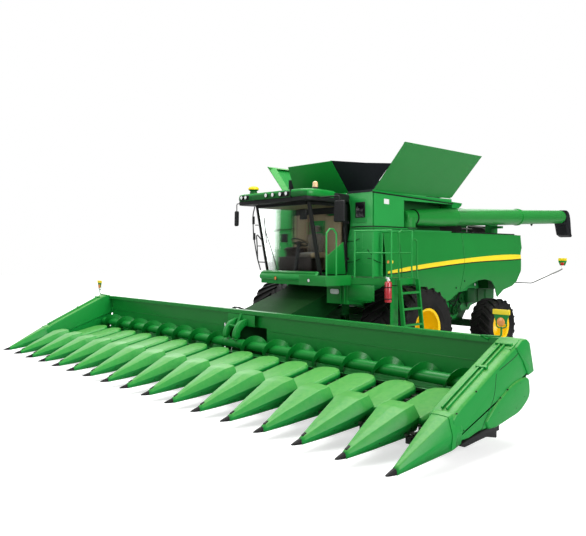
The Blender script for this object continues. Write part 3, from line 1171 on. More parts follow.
silvered = [pressed(soften([(1.68, 3.2), (1.89, 3.197), (1.9, 3.58), (1.69, 3.583)], 0.04, 6), "y",
    at(3.8835), at(3.889), 0.001), pressed(soften([(-1.405, 3.2), (-1.31, 3.2), (-1.3, 3.515),
    (-1.395, 3.52)], 0.03, 6), "y", at(3.7275), at(3.7295), 0.0005)]
make("mirror_glasses", join(*silvered), "chassis", hard_chrome)
print("mirrors and aerials placed")

# %% [markdown]
# ## Cab shell, door and glass
# The CAD pillars and door keep their shape. Their faces are told apart by place: the sill under
# the glass is green enamel, while pillars and door frame are black. Seals, a wiper and grab
# rails are added on top.

# %% Cab shell
shell = refinish("cab_shell", black_enamel)
sill_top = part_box("cab_glass")[0][2] - 0.003
paint(shell, green_enamel, lambda c: c[:, 2] < sill_top)
paint(shell, green_inner, lambda c: (c[:, 1] > at(5.085)) & (c[:, 2] > sill_top))
paint(shell, green_moulded, lambda c: (c[:, 1] > at(5.025)) & (np.abs(c[:, 0]) > 0.88)
    & (c[:, 2] > sill_top))
refinish("cab_door", black_enamel)
for pane in ("cab_glass", "door_glass"):
    refinish(pane, pane_glass)
sill = pressed(soften([(at(4.03), 1.965), (at(4.01), 2.04), (at(4.06), 2.115), (at(4.145), 2.165),
    (at(4.16), 2.14), (at(4.12), 1.95)], np.array([0.02, 0.03, 0.04, 0.01, 0.01, 0.02]), 4), "x", -0.93,
    0.93, 0.04, 4)
sill_side = pressed(soften([(at(4.16), 1.995), (at(5.08), 1.995), (at(5.08), 2.055), (at(4.16), 2.055)],
    0.008, 3), "x", 0.872, 0.892, 0.006)
make("cab_sill_moulding", join(sill, sill_side, flipped(sill_side)), "chassis", green_fresh)
guard = pressed(soften([(at(4.31), 2.11), (at(4.31), 2.47), (at(4.85), 2.79), (at(4.92), 2.09)], 0.03, 4),
    "x", 0.957, 0.972, 0.004)
bead = pipe([(0.965, at(4.31), 2.47), (0.965, at(4.85), 2.79)], 0.012)
make("door_guard_panel", guard, "door", green_enamel)
make("door_guard_bead", bead, "door", green_moulded)
wiper = join(pipe([(-0.42, at(4.145), 2.16), (-0.5, at(4.07), 2.55), (-0.62, at(3.965), 3.05)], 0.01, 0.1),
    pipe([(-0.655, at(4.02), 2.78), (-0.6, at(3.905), 3.36)], 0.012, 0.05))
mast = join(pipe([(-0.915, at(4.06), 2.16), (-0.955, at(3.99), 2.45), (-0.975, at(3.9), 2.95),
    (-0.955, at(3.86), 3.42), (-0.93, at(3.9), 3.62)], 0.013, 0.1),
    pipe([(-0.93, at(3.905), 3.2), (-0.88, at(3.97), 3.2)], 0.01),
    pipe([(-0.93, at(3.98), 2.72), (-0.885, at(4.06), 2.72)], 0.01),
    block((-0.985, -0.925), (at(3.865), at(3.9)), (3.22, 3.4), 0.008),
    block((-0.99, -0.93), (at(3.89), at(3.925)), (2.86, 3.02), 0.008))
make("wiper_and_pillar_rail", join(wiper, mast), "chassis", black_moulded)
far_loop = pipe([(-0.935, at(4.12), 2.85), (-1.05, at(4.08), 2.98), (-1.42, at(4.35), 2.98),
    (-1.46, at(4.4), 2.8), (-1.38, at(4.36), 2.34), (-0.935, at(4.22), 2.34)], 0.014, 0.08)
make("far_grab_loop", far_loop, "chassis", black_enamel)
print("cab shell painted by place")

# %% [markdown]
# ## Inside the cab
# The seat's cushion and back are padded: crowned forms whose sides pull in between the corners,
# with sewn channels across. Around them stand the moulded pedestal, the armrest console with its
# screen, and the steering column with a rimmed wheel.

# %% Seat pads
def pad(x, y, z, crown, channels, axis):
    """A superellipsoid that fills the box: each unit direction's parts are raised to the power
    0.38, so faces stay broad and corners round; channels press grooves across the broad face."""
    n = 49
    a, b = np.meshgrid(np.linspace(-pi / 2, pi / 2, n), np.linspace(-pi, pi, 2 * n, endpoint=False),
        indexing="ij")

    def soft(v, power=0.38):
        return np.sign(v) * np.abs(v) ** power

    unit = np.stack([soft(np.cos(a)) * soft(np.cos(b)), soft(np.cos(a)) * soft(np.sin(b)),
        soft(np.sin(a), 0.55)], -1)
    u, v, w = unit[..., 0], unit[..., 1], unit[..., 2]
    pull = 1 - 0.05 * np.cos(u * pi / 2) * (np.abs(v) > 0.7)
    grooves = np.zeros_like(u)
    for place in channels:
        grooves += np.exp(-((v - place) / 0.045) ** 2)
    w = np.where(w > 0, w * (0.82 + crown * (1 - u ** 2) * (1 - v ** 2)) - 0.1 * grooves * (w > 0.3), w)
    v = v * pull
    centre = [(p[0] + p[1]) / 2 for p in (x, y, z)]
    half = [(p[1] - p[0]) / 2 for p in (x, y, z)]
    first, second, third = axis
    p = np.empty(unit.shape)
    for part, target in ((u, first), (v, second), (w, third)):
        p[..., target] = centre[target] + half[target] * part
    return loft(p)


low, high = span("seat")
cushion = pad((low[0] + 0.005, high[0] - 0.005), (at(4.565), at(4.93)), (low[2] + 0.001, low[2] + 0.135),
    0.2, (-0.45, 0.45), (0, 1, 2))
back = pad((-0.235, 0.215), (at(4.905), at(5.03)), (2.5, 3.02), 0.2, (-0.5, 0.1), (0, 2, 1))
head = pad((-0.13, 0.11), (at(4.925), at(5.033)), (3.03, 3.195), 0.15, (), (0, 2, 1))
for name, skin in (("seat_cushion", cushion), ("seat_back", back), ("headrest", head)):
    piece = make(name, skin, "chassis", seat_cloth,
        ["seat"] if name == "seat_cushion" else (), sharp=60)
print("seat pads", 3)

# %% Console and steering
floor_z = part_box("seat_base")[0][2]
pedestal = pressed(soften([(-0.2, at(4.64)), (0.18, at(4.64)), (0.18, at(4.92)), (-0.2, at(4.92))], 0.05,
    5), "z", floor_z, 2.437, 0.02)
box_side = pressed(soften([(at(4.5), floor_z), (at(4.56), 2.5), (at(4.5), 2.66), (at(4.62), 2.698),
    (at(5.02), 2.66), (at(5.02), floor_z)], 0.03, 4), "x", -0.615, -0.325, 0.02)
bridge = block((-0.34, -0.18), (at(4.66), at(4.89)), (2.0, 2.1), 0.01)
make("seat_pedestal_and_console", join(pedestal, box_side, bridge), "chassis", brown_moulded,
    ["seat_base"])
tan = join(pressed(soften([(at(4.98), 2.16), (at(5.045), 2.16), (at(5.045), 3.45), (at(4.98), 3.45)], 0.02,
    4), "x", -0.76, -0.3, 0.02), pressed(soften([(at(4.985), 2.16), (at(5.045), 2.16), (at(5.045), 3.4),
    (at(4.985), 3.4)], 0.02, 4), "x", 0.27, 0.76, 0.02), pressed(soften([(-0.78, at(3.98)),
    (0.78, at(3.98)), (0.78, at(4.97)), (-0.78, at(4.97))], 0.06, 4), "z", 3.585, 3.625, 0.01),
    pressed(soften([(at(4.5), 2.45), (at(4.97), 2.45), (at(4.97), 2.58), (at(4.5), 2.56)], 0.03, 4), "x",
    0.3, 0.42, 0.015), block((-0.31, 0.28), (at(5.035), at(5.045)), (2.16, 2.96), 0.004),
    block((-0.31, 0.28), (at(5.035), at(5.045)), (3.3, 3.45), 0.004))
knee_board = block((-0.8, 0.3), (at(4.5), at(4.53)), (2.12, 2.47), 0.01)
make("cab_knee_board", knee_board, "chassis", brown_moulded)
make("tan_cab_trim", tan, "chassis", tan_moulded)
hub = np.array([0.0, at(4.44), 2.8])
lean_axis = np.array([0, 0.5, 1]) / np.linalg.norm([0, 0.5, 1])
t = np.linspace(0, 2 * pi, 40, endpoint=False)
wheel_rim = lathe([(0.016 * np.sin(a), 0.188 + 0.016 * np.cos(a)) for a in np.linspace(0, 2 * pi, 12,
    endpoint=False)], hub, lean_axis, 48, hollow=True)
spokes = [rod(hub + lean_axis * -0.01, hub + 0.182 * d, 0.012, 10) for d in (np.array([1.0, 0, 0]),
    np.array([-1.0, 0, 0]), np.cross(lean_axis, [1.0, 0, 0]))]
boss = lathe([(-0.03, 0.04), (0.0, 0.055), (0.014, 0.05), (0.018, 0.03), (0.018, 0.001)], hub, lean_axis,
    28)
stalk = join(pipe([(0, at(4.3), floor_z + 0.05), (0, at(4.36), 2.4), (0, at(4.43), 2.77)], 0.045, 0.1, 16),
    pressed(soften([(-0.09, at(4.24)), (0.09, at(4.24)), (0.09, at(4.36)), (-0.09, at(4.36))], 0.03, 4),
    "z", floor_z, floor_z + 0.12, 0.02))
make("steering_wheel_and_column", join(wheel_rim, boss, stalk, *spokes), "chassis", black_moulded,
    ["steering_column"])
screens = join(pressed(soften([(-0.6, 2.8), (-0.36, 2.8), (-0.36, 3.0), (-0.6, 3.0)], 0.015, 4), "y",
    at(4.4), at(4.425), 0.006), pipe([(-0.47, at(4.42), 2.9), (-0.47, at(4.5), 2.75),
    (-0.47, at(4.56), 2.68)], 0.012, 0.04), pressed(soften([(0.44, 3.28), (0.64, 3.28), (0.64, 3.5),
    (0.44, 3.5)], 0.02, 4), "y", at(4.03), at(4.07), 0.008))
make("screens", screens, "chassis", black_moulded)
lever = join(pipe([(-0.42, at(4.64), 2.66), (-0.42, at(4.63), 2.78)], 0.012),
    lathe([(0, 0.012), (0.02, 0.028), (0.055, 0.03), (0.075, 0.018), (0.078, 0.001)],
    (-0.42, at(4.63), 2.77), (0, 0.1, 1), 20))
make("drive_lever", lever, "chassis", brown_moulded)
carpet = block((-0.8, 0.8), (at(4.17), at(5.04)), (floor_z, floor_z + 0.012), 0.003)
make("cab_floor_mat", carpet, "chassis", black_moulded)
print("cab fitted out")

# %% [markdown]
# ## Grain tank
# The hopper keeps its CAD walls, softened by a bevel. In front of it stands a green fairing whose
# edge towards the cab is a long S curve with a rolled lip. A pressed panel with a small dark
# window, a ledge with a groove over it, a hinge rail and a blank white square finish the walls.

# %% Hopper and fairing
low, high = span("grain_tank")
SIDE, FRONT = high[0], low[1]
for node in ("grain_tank", "threshing_body"):
    refinish(node, green_fresh)
roll_edges(NODES["grain_tank"], 0.01)
paint(NODES["grain_tank"], green_inner, lambda c: (np.abs(c[:, 0]) < SIDE - 0.004)
    & (c[:, 1] > FRONT + 0.004) & (c[:, 2] > 2.4))
dark_glass = coated("dark_tinted_window", "#171019", "#100c14", 0.1, coat=0.6, grain=0.01, bump=0.01,
    dust=0.0)
face = at(5.096)
curve = np.array([(0.597, 2.03), (0.719, 2.43), (0.882, 2.76), (0.979, 3.2), (0.978, 3.5), (0.915, 3.74),
    (0.818, 3.865)])
curve = soften(curve, np.array([0.0, 0.15, 0.15, 0.15, 0.12, 0.08, 0.0]), 8, closed=False)
outline = np.vstack([curve, [(SIDE - 0.015, 3.865), (SIDE - 0.015, 2.03)]])
fairing = pressed(outline, "y", face, face + 0.014, 0.004)
fairing = join(fairing, flipped(fairing))
panel = pressed(rectangle(0.87 + 0.1, 1.43, 3.22, 3.74, 0.05, 6), "y", face - 0.012, face + 0.002, 0.006)
seams = [block((x, x + 0.01), (face - 0.003, face + 0.002), (2.04, 3.08), 0.002) for x in (1.02, 1.3)]
seams += [block((0.93, 1.585), (face - 0.003, face + 0.002), (z, z + 0.01), 0.002) for z in (2.33, 2.62)]
make("tank_fairing", join(fairing, panel, *seams), "chassis", green_fresh, sharp=40)
lip = pipe(on_plane(curve, "y", face - 0.002), 0.013, 0.02, 10)
ledge = [block((0.96, SIDE + 0.045), (face - 0.02, face + 0.004), (3.085, 3.118), 0.005),
    block((SIDE + 0.012, SIDE + 0.045), (face - 0.018, at(6.54)), (3.085, 3.118), 0.005)]
rail = slab([(at(5.08), 3.88), (at(8.5), 3.768), (at(8.5), 3.796), (at(5.08), 3.915)], "x",
    [SIDE - 0.004, SIDE + 0.016])
shelf = pressed([(at(8.08), 3.655), (at(8.38), 3.665), (at(8.5), 3.735), (at(8.5), 3.785),
    (at(8.08), 3.795)], "x", 1.15, SIDE + 0.002, 0.01)
make("fairing_lip_ledge_and_rail", join(lip, flipped(lip), *ledge, *[flipped(s) for s in ledge], rail,
    flipped(rail), shelf, flipped(shelf)), "chassis", green_moulded)
groove = [block((0.97, SIDE + 0.03), (face - 0.006, face + 0.002), (3.118, 3.146), 0.002),
    block((SIDE - 0.002, SIDE + 0.006), (face + 0.004, at(6.16)), (3.118, 3.146), 0.002),
    slab([(at(5.08), 3.85), (at(8.12), 3.752), (at(8.12), 3.778), (at(5.08), 3.878)], "x",
    [SIDE - 0.004, SIDE + 0.006])]
frame_rim = pressed(rectangle(1.105, 1.392, 3.325, 3.672, 0.03, 5), "y", face - 0.018, face - 0.008, 0.003)
make("shadow_grooves_and_window_rim", join(frame_rim, *groove, *[flipped(s) for s in groove]), "chassis",
    black_enamel)
glass = pressed(rectangle(1.125, 1.372, 3.345, 3.652, 0.02, 5), "y", face - 0.021, face - 0.012, 0.002)
make("tank_window", glass, "chassis", dark_glass)
plate = pressed([(at(5.46), 3.632), (at(5.635), 3.625), (at(5.635), 3.735), (at(5.46), 3.742)], "x",
    SIDE - 0.001, SIDE + 0.004, 0.001)
make("blank_white_plate", plate, "chassis", white_plate)
print("fairing at", round(face, 3))

# %% [markdown]
# ## Tank covers
# Each cover is a flat steel leaf from the CAD. Folded flanges along its free edges stiffen it: a
# flange is a thin sheet between two lines, one on the leaf's edge and one leaning inwards.

# %% Sheets between lines
def sheet_skin(grid, thick):
    """A closed skin round a grid of points (rows, columns, 3): a second copy of the grid lies
    thick away along the cross product of the grid's two directions, and they share borders."""
    grid = np.asarray(grid, float)
    along, over = np.gradient(grid, axis=0), np.gradient(grid, axis=1)
    normal = np.cross(along, over)
    length = np.linalg.norm(normal, axis=-1, keepdims=True)
    normal = np.where(length > 1e-9, normal / np.maximum(length, 1e-9), np.roll(normal, 1, 1))
    middle = normal[normal.shape[0] // 2, normal.shape[1] // 2]
    normal = np.where(length > 1e-9, normal, middle / (np.linalg.norm(middle) + 1e-9))
    return loft(np.concatenate([grid, (grid + normal * thick)[:, ::-1]], axis=1))


def patch(a, b, c, d, n=13, m=13, bulge=0.0):
    """Points between the four corners: (1-v)((1-u)a + u b) + v((1-u)d + u c), lifted by bulge
    times sin(pi u) sin(pi v) along the patch's own normal."""
    a, b, c, d = (np.asarray(p, float) for p in (a, b, c, d))
    u, v = np.meshgrid(np.linspace(0, 1, n), np.linspace(0, 1, m), indexing="ij")
    u, v = u[..., None], v[..., None]
    flat = (1 - v) * ((1 - u) * a + u * b) + v * ((1 - u) * d + u * c)
    normal = np.cross(b - a, c - a) + np.cross(c - a, d - a)
    normal /= np.linalg.norm(normal)
    return flat + bulge * np.sin(pi * u) * np.sin(pi * v) * normal


# %% Covers
COVERS = {"left_cover": "left_lid", "right_cover": "right_lid", "front_cover": "front_lid",
    "rear_cover": "rear_lid"}
for node in COVERS:
    refinish(node, green_enamel)
low, high = span("left_cover")
tip_x, tip_z, back_y = high[0] - 0.008, high[2] - 0.006, high[1]
hinge_x, hinge_z = low[0] + 0.015, low[2] + 0.02


def flanges(front_y, wide):
    """A front flange that leans inwards and back, and one along the free edge."""
    run = np.array([tip_x - hinge_x, 0, tip_z - hinge_z])
    lean = np.array([-0.13, 0.11, -0.03]) * wide
    hinge, tip = np.array([hinge_x, front_y, hinge_z]) + 0.06 * run, np.array([tip_x, front_y, tip_z])
    front = sheet_skin(patch(hinge, tip, tip + lean * 1.3, hinge + lean, 3, 3), 0.004)
    tail = np.array([tip_x, back_y, tip_z])
    fold = np.array([-0.115, 0, -0.045]) * wide
    free = sheet_skin(patch(tip, tail, tail + fold, tip + fold, 3, 3), 0.004)
    return join(front, free)


make("left_cover_flanges", flanges(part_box("left_cover")[0][1] + 0.004, 0.35), "left_lid", green_enamel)
make("right_cover_flanges", flipped(flanges(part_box("right_cover")[0][1] + 0.004, 1.0)), "right_lid",
    green_moulded)
print("cover tip", round(tip_x, 3), round(tip_z, 3))

# %% [markdown]
# ## Rubber corners
# Two stretched rubber sheets close each corner between the covers: one rides with the end cover
# and one with the side cover. They bulge a little, like cloth with slack. Their cut sizes are
# declared, so that the part's record can list them.

# %% Rubber sheets
LOW_EDGE, PANEL_TOP = np.array([0.835, at(5.133), 3.935]), np.array([0.672, at(4.742), 4.598])
FOLD_TOP, CORNER = np.array([1.48, at(4.985), 4.49]), np.array([1.57, at(5.13), 3.93])
COVER_MID = np.array([2.06, at(5.13), 4.434])
tank_low, tank_high = span("grain_tank")
MIDDLE_Y = (tank_low[1] + tank_high[1]) / 2
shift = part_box("right_cover")[0][1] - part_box("left_cover")[0][1]
SLACK_LOW, SLACK_TOP = np.array([-1.12, at(5.133), 3.935]), np.array([-0.93, at(4.965), 4.315])


def place(p, side, end):
    """A left front point moved to the right side or mirrored to the rear of the tank."""
    p = p.copy()
    p[0] *= side
    if end < 0:
        p[1] = 2 * MIDDLE_Y - p[1]
    return p


for end, lid in ((1, "front_lid"), (-1, "rear_lid")):
    for side, word in ((1, "left"), (-1, "right")):
        points = [place(p, side, end) for p in (LOW_EDGE, CORNER, FOLD_TOP, PANEL_TOP)]
        if side < 0 and end > 0:
            points = [points[0], SLACK_LOW, SLACK_TOP, points[0] * 0.45 + points[3] * 0.55]
        turn = 1 if side * end > 0 else -1
        skin = sheet_skin(patch(*points, bulge=0.01 * turn), 0.008 * turn)
        node = {"front_lid": "front_rubber", "rear_lid": "rear_rubber"}[lid]
        sheet = make(f"{word}_{node}_panel", skin, lid, sheet_rubber,
            [node] if side > 0 else ())
for side, lid, word in ((1, "left_lid", "left"), (-1, "right_lid", "right")):
    for end, name in ((1, "front"), (-1, "rear")):
        points = [place(CORNER, side, end), place(CORNER, side, end), place(COVER_MID, side, end),
            place(FOLD_TOP, side, end)]
        if side < 0 and end > 0:
            rear = SLACK_LOW + [-0.45, shift, 0]
            points = [SLACK_LOW, rear, rear + [-0.14, 0, 0.15], SLACK_LOW + [0, 0, 0.1]]
        turn = 1 if side * end > 0 else -1
        skin = sheet_skin(patch(*points, bulge=0.006 * turn), 0.008 * turn)
        sheet = make(f"{word}_side_rubber_{name}", skin, lid, sheet_rubber,
            [f"{word}_rubber"] if end > 0 else ())
        [float(c) for c in points[0]]
        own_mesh(sheet)
print("rubber sheets", 8)

# %% [markdown]
# ## Unloading auger
# The tube is turned about its own line: an elbow with a flat end cover, a main tube with seam
# rings and a collar, and a thinner end. Its line comes from the turret and the tube's far end.

# %% Tube and elbow
LEAN, RISE = radians(1.0), radians(2.2)
START = np.array([1.5, at(6.42), 3.37])
ALONG = np.array([np.sin(LEAN) * np.cos(RISE), np.cos(LEAN) * np.cos(RISE), np.sin(RISE)])
SIDEWAYS = np.array([np.cos(LEAN), -np.sin(LEAN), 0])
UPWARD = np.cross(SIDEWAYS, ALONG)
tube = lathe([(0.21, 0.001), (0.21, 0.185), (1.0, 0.2165), (1.8, 0.2165), (1.803, 0.218), (1.815, 0.218),
    (1.818, 0.2165), (4.85, 0.2165), (4.855, 0.235), (4.925, 0.235), (4.93, 0.203), (7.5, 0.203),
    (7.5, 0.19), (7.0, 0.19), (7.0, 0.001)], START, ALONG, 56)
arm = lathe([(-0.175, 0.001), (-0.175, 0.14), (-0.165, 0.16), (-0.15, 0.17), (0.0, 0.174), (0.215, 0.174),
    (0.215, 0.001)], START, ALONG, 48)
trunk = lathe([(3.14, 0.189), (3.15, 0.19), (3.36, 0.19), (3.36, 0.001)], (START[0], START[1], 0),
    (0, 0, 1), 48)
heads = [bolt(START + ALONG * -0.172 + 0.125 * (np.cos(a) * SIDEWAYS + np.sin(a) * UPWARD), -ALONG,
    0.012) for a in np.arange(8) * pi / 4]
make("unloading_auger_tube", join(tube, arm, trunk, *heads), "unloader", auger_green,
    ["unloading_auger"], sharp=30)
clamp = lathe([(0.185, 0.1735), (0.187, 0.192), (0.213, 0.192), (0.215, 0.1735)], START, ALONG, 48)
strap = lathe([(4.932, 0.2025), (4.934, 0.214), (4.96, 0.214), (4.962, 0.2025)], START, ALONG, 48)
lug = START + ALONG * 5.72 - UPWARD * 0.205
hook = lathe([(0.0, 0.032), (0.02, 0.034), (0.06, 0.022), (0.075, 0.001)], lug + UPWARD * 0.02, -UPWARD, 16)
make("auger_clamps_and_hook", join(clamp, strap, hook), "unloader", black_enamel)
refinish("auger_turret", green_frame)

# %% Spout boot
reach = (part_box("spout_boot")[1][1] - START[1] - 0.02) / ALONG[1]
section = soften([(7.44, 0.2), (reach - 0.22, 0.19), (reach - 0.09, 0.02), (reach - 0.006, -0.64),
    (reach - 0.25, -0.56), (reach - 0.38, -0.2), (7.44, -0.205)],
    np.array([0.01, 0.13, 0.18, 0.03, 0.03, 0.08, 0.01]), 8)
hood = pressed(section, "x", -0.199, 0.199, 0.05, 6)
hood = START + hood[0] @ np.array([SIDEWAYS, ALONG, UPWARD]), hood[1]
band = lathe([(7.455, 0.2025), (7.458, 0.209), (7.485, 0.209), (7.488, 0.2025)], START, ALONG, 48)
make("spout_boot_rubber", join(hood, band), "unloader", boot_rubber, ["spout_boot"],
    sharp=50)
print("tube ends at", np.round(START + ALONG * 7.5, 3))

# %% [markdown]
# ## Side shields
# A shield's section bulges: a fourth-power fit of its half width over height. Its outline is
# filled with columns from the lower edge to the upper edge, and the sheet is given thickness and
# rolled edges by modifiers.

# %% Shield panels
LEVELS = [3.056, 2.75, 2.42, 2.0, 1.34]
BULGE = np.polyfit(np.array(LEVELS) - 2.2, [1.648, 1.685, 1.727, 1.73, 1.67], 4)
SEAM = 8.422


def bulged(z):
    """The shields' half width at height z, from the fitted curve."""
    return np.polyval(BULGE, z - 2.2)


def shield(lower, upper, front, rear, n=90, m=30):
    """Columns at station s from lower(s) to upper(s); near the ends a column bends so that its
    points follow the outline's front and rear edges, given as stations over height."""
    s = np.linspace(lower[0][0], lower[-1][0], n)[:, None]
    t = np.linspace(0, 1, m)[None, :]
    low_z = np.interp(s, [p[0] for p in lower], [p[1] for p in lower])
    high_z = np.interp(s, [p[0] for p in upper], [p[1] for p in upper])
    z = low_z + t * (high_z - low_z)
    near = np.clip((s - (s[-1] - 0.8)) / 0.8, 0, 1) ** 2
    station = s + near * (np.interp(z, [p[1] for p in rear], [p[0] for p in rear]) - s[-1])
    far = np.clip(((s[0] + 0.5) - s) / 0.5, 0, 1) ** 2
    station = station + far * (np.interp(z, [p[1] for p in front], [p[0] for p in front]) - s[0])
    return np.stack([bulged(z), at(station), z], axis=-1)


def rounded(points, radius, steps=6):
    """An open line with its inner corners softened."""
    return soften(points, radius, steps, closed=False)


FRONT_LOW = rounded([(5.9, 1.98), (6.65, 1.78), (7.7, 1.385), (7.85, 1.39), (8.08, 1.505), (8.279, 1.612)],
    0.1)
REAR_LOW = rounded([(8.296, 1.618), (8.5, 1.69), (8.775, 1.775), (9.07, 1.853), (9.39, 1.877), (9.74, 1.82),
    (9.951, 1.64), (10.057, 1.45), (10.107, 1.362), (10.167, 1.412), (10.412, 1.562), (10.855, 1.65),
    (11.075, 1.77)], 0.03)
FRONT_REAR = [(8.279, 1.612), (8.409, 2.29), (8.412, 3.1)]
REAR_FRONT = [(8.296, 1.612), (8.426, 2.29), (8.429, 3.1)]
REAR_EDGE = [(11.075, 1.77), (11.262, 2.055), (11.27, 2.565), (11.372, 2.69), (11.385, 3.056)]
TOP = [(5.0, 3.046), (12.0, 3.046)]
SHIELDS = {"front_left_shield": (shield(FRONT_LOW, TOP, [(5.9, 1.5), (5.9, 3.1)], FRONT_REAR),
    "front_left_panel"), "rear_left_shield": (shield(REAR_LOW, TOP, REAR_FRONT, REAR_EDGE),
    "rear_left_panel")}
for node, (grid, body) in SHIELDS.items():
    for name, joint, turn in ((node, body, 1), (node.replace("left", "right"),
            body.replace("left", "right"), -1)):
        skin = sheet_skin(grid, 0.018)
        skin = skin if turn > 0 else flipped(skin)
        make(name + "_panel", skin, joint, green_enamel, [name], sharp=30, bevel=0.005)
door_low = rounded([(5.36, 2.04), (5.6, 2.03), (5.885, 2.02)], 0.05)
service = shield(door_low, [(5.0, 3.02), (6.0, 3.02)], [(5.36, 1.5), (5.36, 3.1)],
    [(5.885, 1.5), (5.885, 3.1)], 16, 20)
make("service_doors", both(sheet_skin(service, 0.016)), "chassis", green_enamel, bevel=0.004)
print("shield grid", SHIELDS["rear_left_shield"][0].shape)

# %% [markdown]
# The yellow stripe tapers from the front door to the tail, with a thin dark line below it. Both
# lie on the bulged panels, and they are cut where the panels part, so each piece opens with its
# own panel.

# %% Stripe
S_TOP = [(5.42, 2.155), (5.67, 2.194), (5.92, 2.236), (6.22, 2.258), (6.529, 2.274), (6.985, 2.315),
    (7.707, 2.371), (8.347, 2.415), (9.023, 2.455), (9.89, 2.488), (11.181, 2.506)]
S_LOW = [(5.42, 2.108), (5.671, 2.124), (5.921, 2.142), (6.221, 2.162), (6.529, 2.178), (6.986, 2.213),
    (7.708, 2.269), (8.348, 2.307), (9.025, 2.335), (9.892, 2.357), (11.183, 2.388)]
fit_top = np.polyfit(*np.array(S_TOP).T, 4)
fit_low = np.polyfit(*np.array(S_LOW).T, 4)


def band_skin(start, stop, offset, below=0.0, tall=None):
    """A thin strip from station start to stop: from the fitted lower edge to the upper one, or
    tall metres high below the lower edge."""
    s = np.linspace(start, stop, 60)[:, None]
    t = np.linspace(0, 1, 7)[None, :]
    bottom, top = np.polyval(fit_low, s), np.polyval(fit_top, s)
    z = bottom + t * (top - bottom) if tall is None else bottom - below - tall * (1 - t)
    return sheet_skin(np.stack([bulged(z) + offset, at(s + 0 * z), z], axis=-1), 0.002)


for start, stop, body in ((5.41, 5.875, "chassis"), (5.91, SEAM - 0.008, "front_left_panel"),
        (SEAM + 0.008, 11.258, "rear_left_panel")):
    stripe, line = band_skin(start, stop, 0.0195), band_skin(start, stop, 0.02, -0.002, 0.026)
    where = body.replace("_left_panel", "") if body != "chassis" else "door"
    for word, turn, rider in (("left", 1, body), ("right", -1, body.replace("left", "right"))):
        pair = (stripe, line) if turn > 0 else (flipped(stripe), flipped(line))
        make(f"{where}_{word}_yellow_stripe", pair[0], rider, yellow_band)
        make(f"{where}_{word}_stripe_underline", pair[1], rider, black_enamel)
spots = [pressed(soften([(at(y) - 0.035, z - 0.032), (at(y) + 0.035, z - 0.032), (at(y) + 0.035, z + 0.032),
    (at(y) - 0.035, z + 0.032)], 0.02, 4), "x", bulged(z) + 0.016, bulged(z) + 0.024,
    0.002) for y, z in ((5.42, 2.365), (5.562, 2.362))]
make("door_spot_front", spots[0], "chassis", amber_lens)
make("door_spot_rear", spots[1], "chassis", yellow_band)
knobs = [lathe([(0, 0.022), (0.012, 0.022), (0.016, 0.016), (0.0165, 0.001)], (bulged(z) + 0.018, at(y), z),
    (1, 0, 0), 20) for y, z in ((8.1, 1.7), (8.44, 1.86))]
make("shield_latch_front", knobs[0], "front_left_panel", black_moulded)
make("shield_latch_rear", knobs[1], "rear_left_panel", black_moulded)
print("stripe from", at(5.41), "to", at(11.275))

# %% [markdown]
# ## Frame, axles and underside
# These nodes keep their CAD shape. Each one gets a finish and a rolled edge a few millimetres wide,
# which is what catches the light along a cut plate.

# %% Finishes for the kept nodes
def dress(node, finish, width=0.005):
    """Gives a kept CAD node one finish and an edge rounded by width metres."""
    roll_edges(refinish(node, finish), width)


feeder_green = coated("dull_green_feeder_paint", "#0a4a1a", "#063212", 0.6, grain=0.004, bump=0.1,
    dust=0.05, shine=0.1)
for node in ("front_axle", "rear_axle", "left_knuckle", "right_knuckle", "chassis_frame"):
    dress(node, green_frame, 0.006)
for node, finish in (("lift_barrels", black_enamel), ("lift_rods", hard_chrome),
        ("engine_block", dark_iron), ("rear_hood", green_inner), ("rear_hitch", dark_iron),
        ("feeder_house", feeder_green), ("platform", green_enamel), ("ladder", green_enamel)):
    dress(node, finish, 0.002)
paint(NODES["platform"], green_fresh, lambda c: c[:, 2] > 2.115)
print("kept nodes dressed")

# %% Machinery between the wheels
def pulley(y, z, radius, x=1.06):
    """A belt pulley: a rim with a groove, a thin web and a hub."""
    return lathe([(-0.035, radius * 0.22), (-0.035, radius * 0.88), (-0.04, radius),
        (-0.012, radius * 0.93), (0.012, radius * 0.93), (0.04, radius), (0.035, radius * 0.88),
        (0.012, radius * 0.8), (0.012, radius * 0.3), (0.04, radius * 0.24), (0.044, 0.001)], (x, at(y), z),
        (1, 0, 0), 40)


wheels = [(7.6, 1.14, 0.13), (8.42, 1.27, 0.2), (9.02, 1.05, 0.12), (9.36, 1.36, 0.15), (9.86, 1.52, 0.1)]
make("belt_pulleys", both(join(*[pulley(*w) for w in wheels])), "chassis", green_frame,
    sharp=40)
belts = []
for here, there in zip(wheels[:-1], wheels[1:]):
    for side in (1, -1):
        belts.append(pipe([(1.06, at(here[0]), here[1] + side * here[2] * 0.95),
            (1.06, at(there[0]), there[1] + side * there[2] * 0.95)], 0.011, 0.0))
hoses = [pipe([(1.1, at(8.55), 1.5), (1.14, at(8.8), 1.28), (1.12, at(9.1), 1.34), (1.1, at(9.3), 1.62)],
    0.014, 0.1), pipe([(1.06, at(9.3), 1.74), (1.08, at(9.55), 1.66), (1.06, at(9.8), 1.72)], 0.012, 0.08)]
make("drive_belts_and_hoses", both(join(*belts, *hoses)), "chassis", black_moulded)
arms = [slab([(at(8.62), 1.52), (at(8.78), 1.56), (at(9.3), 1.12), (at(9.2), 1.02)], "x", [1.012, 1.028]),
    slab([(at(9.28), 0.96), (at(9.4), 1.0), (at(9.06), 1.62), (at(8.94), 1.6)], "x", [1.03, 1.046]),
    slab([(at(7.95), 1.02), (at(8.12), 0.98), (at(8.5), 1.52), (at(8.34), 1.54)], "x", [1.012, 1.028])]
arms += [block((1.01, 1.036), (at(y), at(y + 0.05)), (low, high),
    0.004) for y, low, high in ((8.86, 0.9, 1.56), (9.66, 1.1, 1.76), (9.9, 1.2, 1.78))]
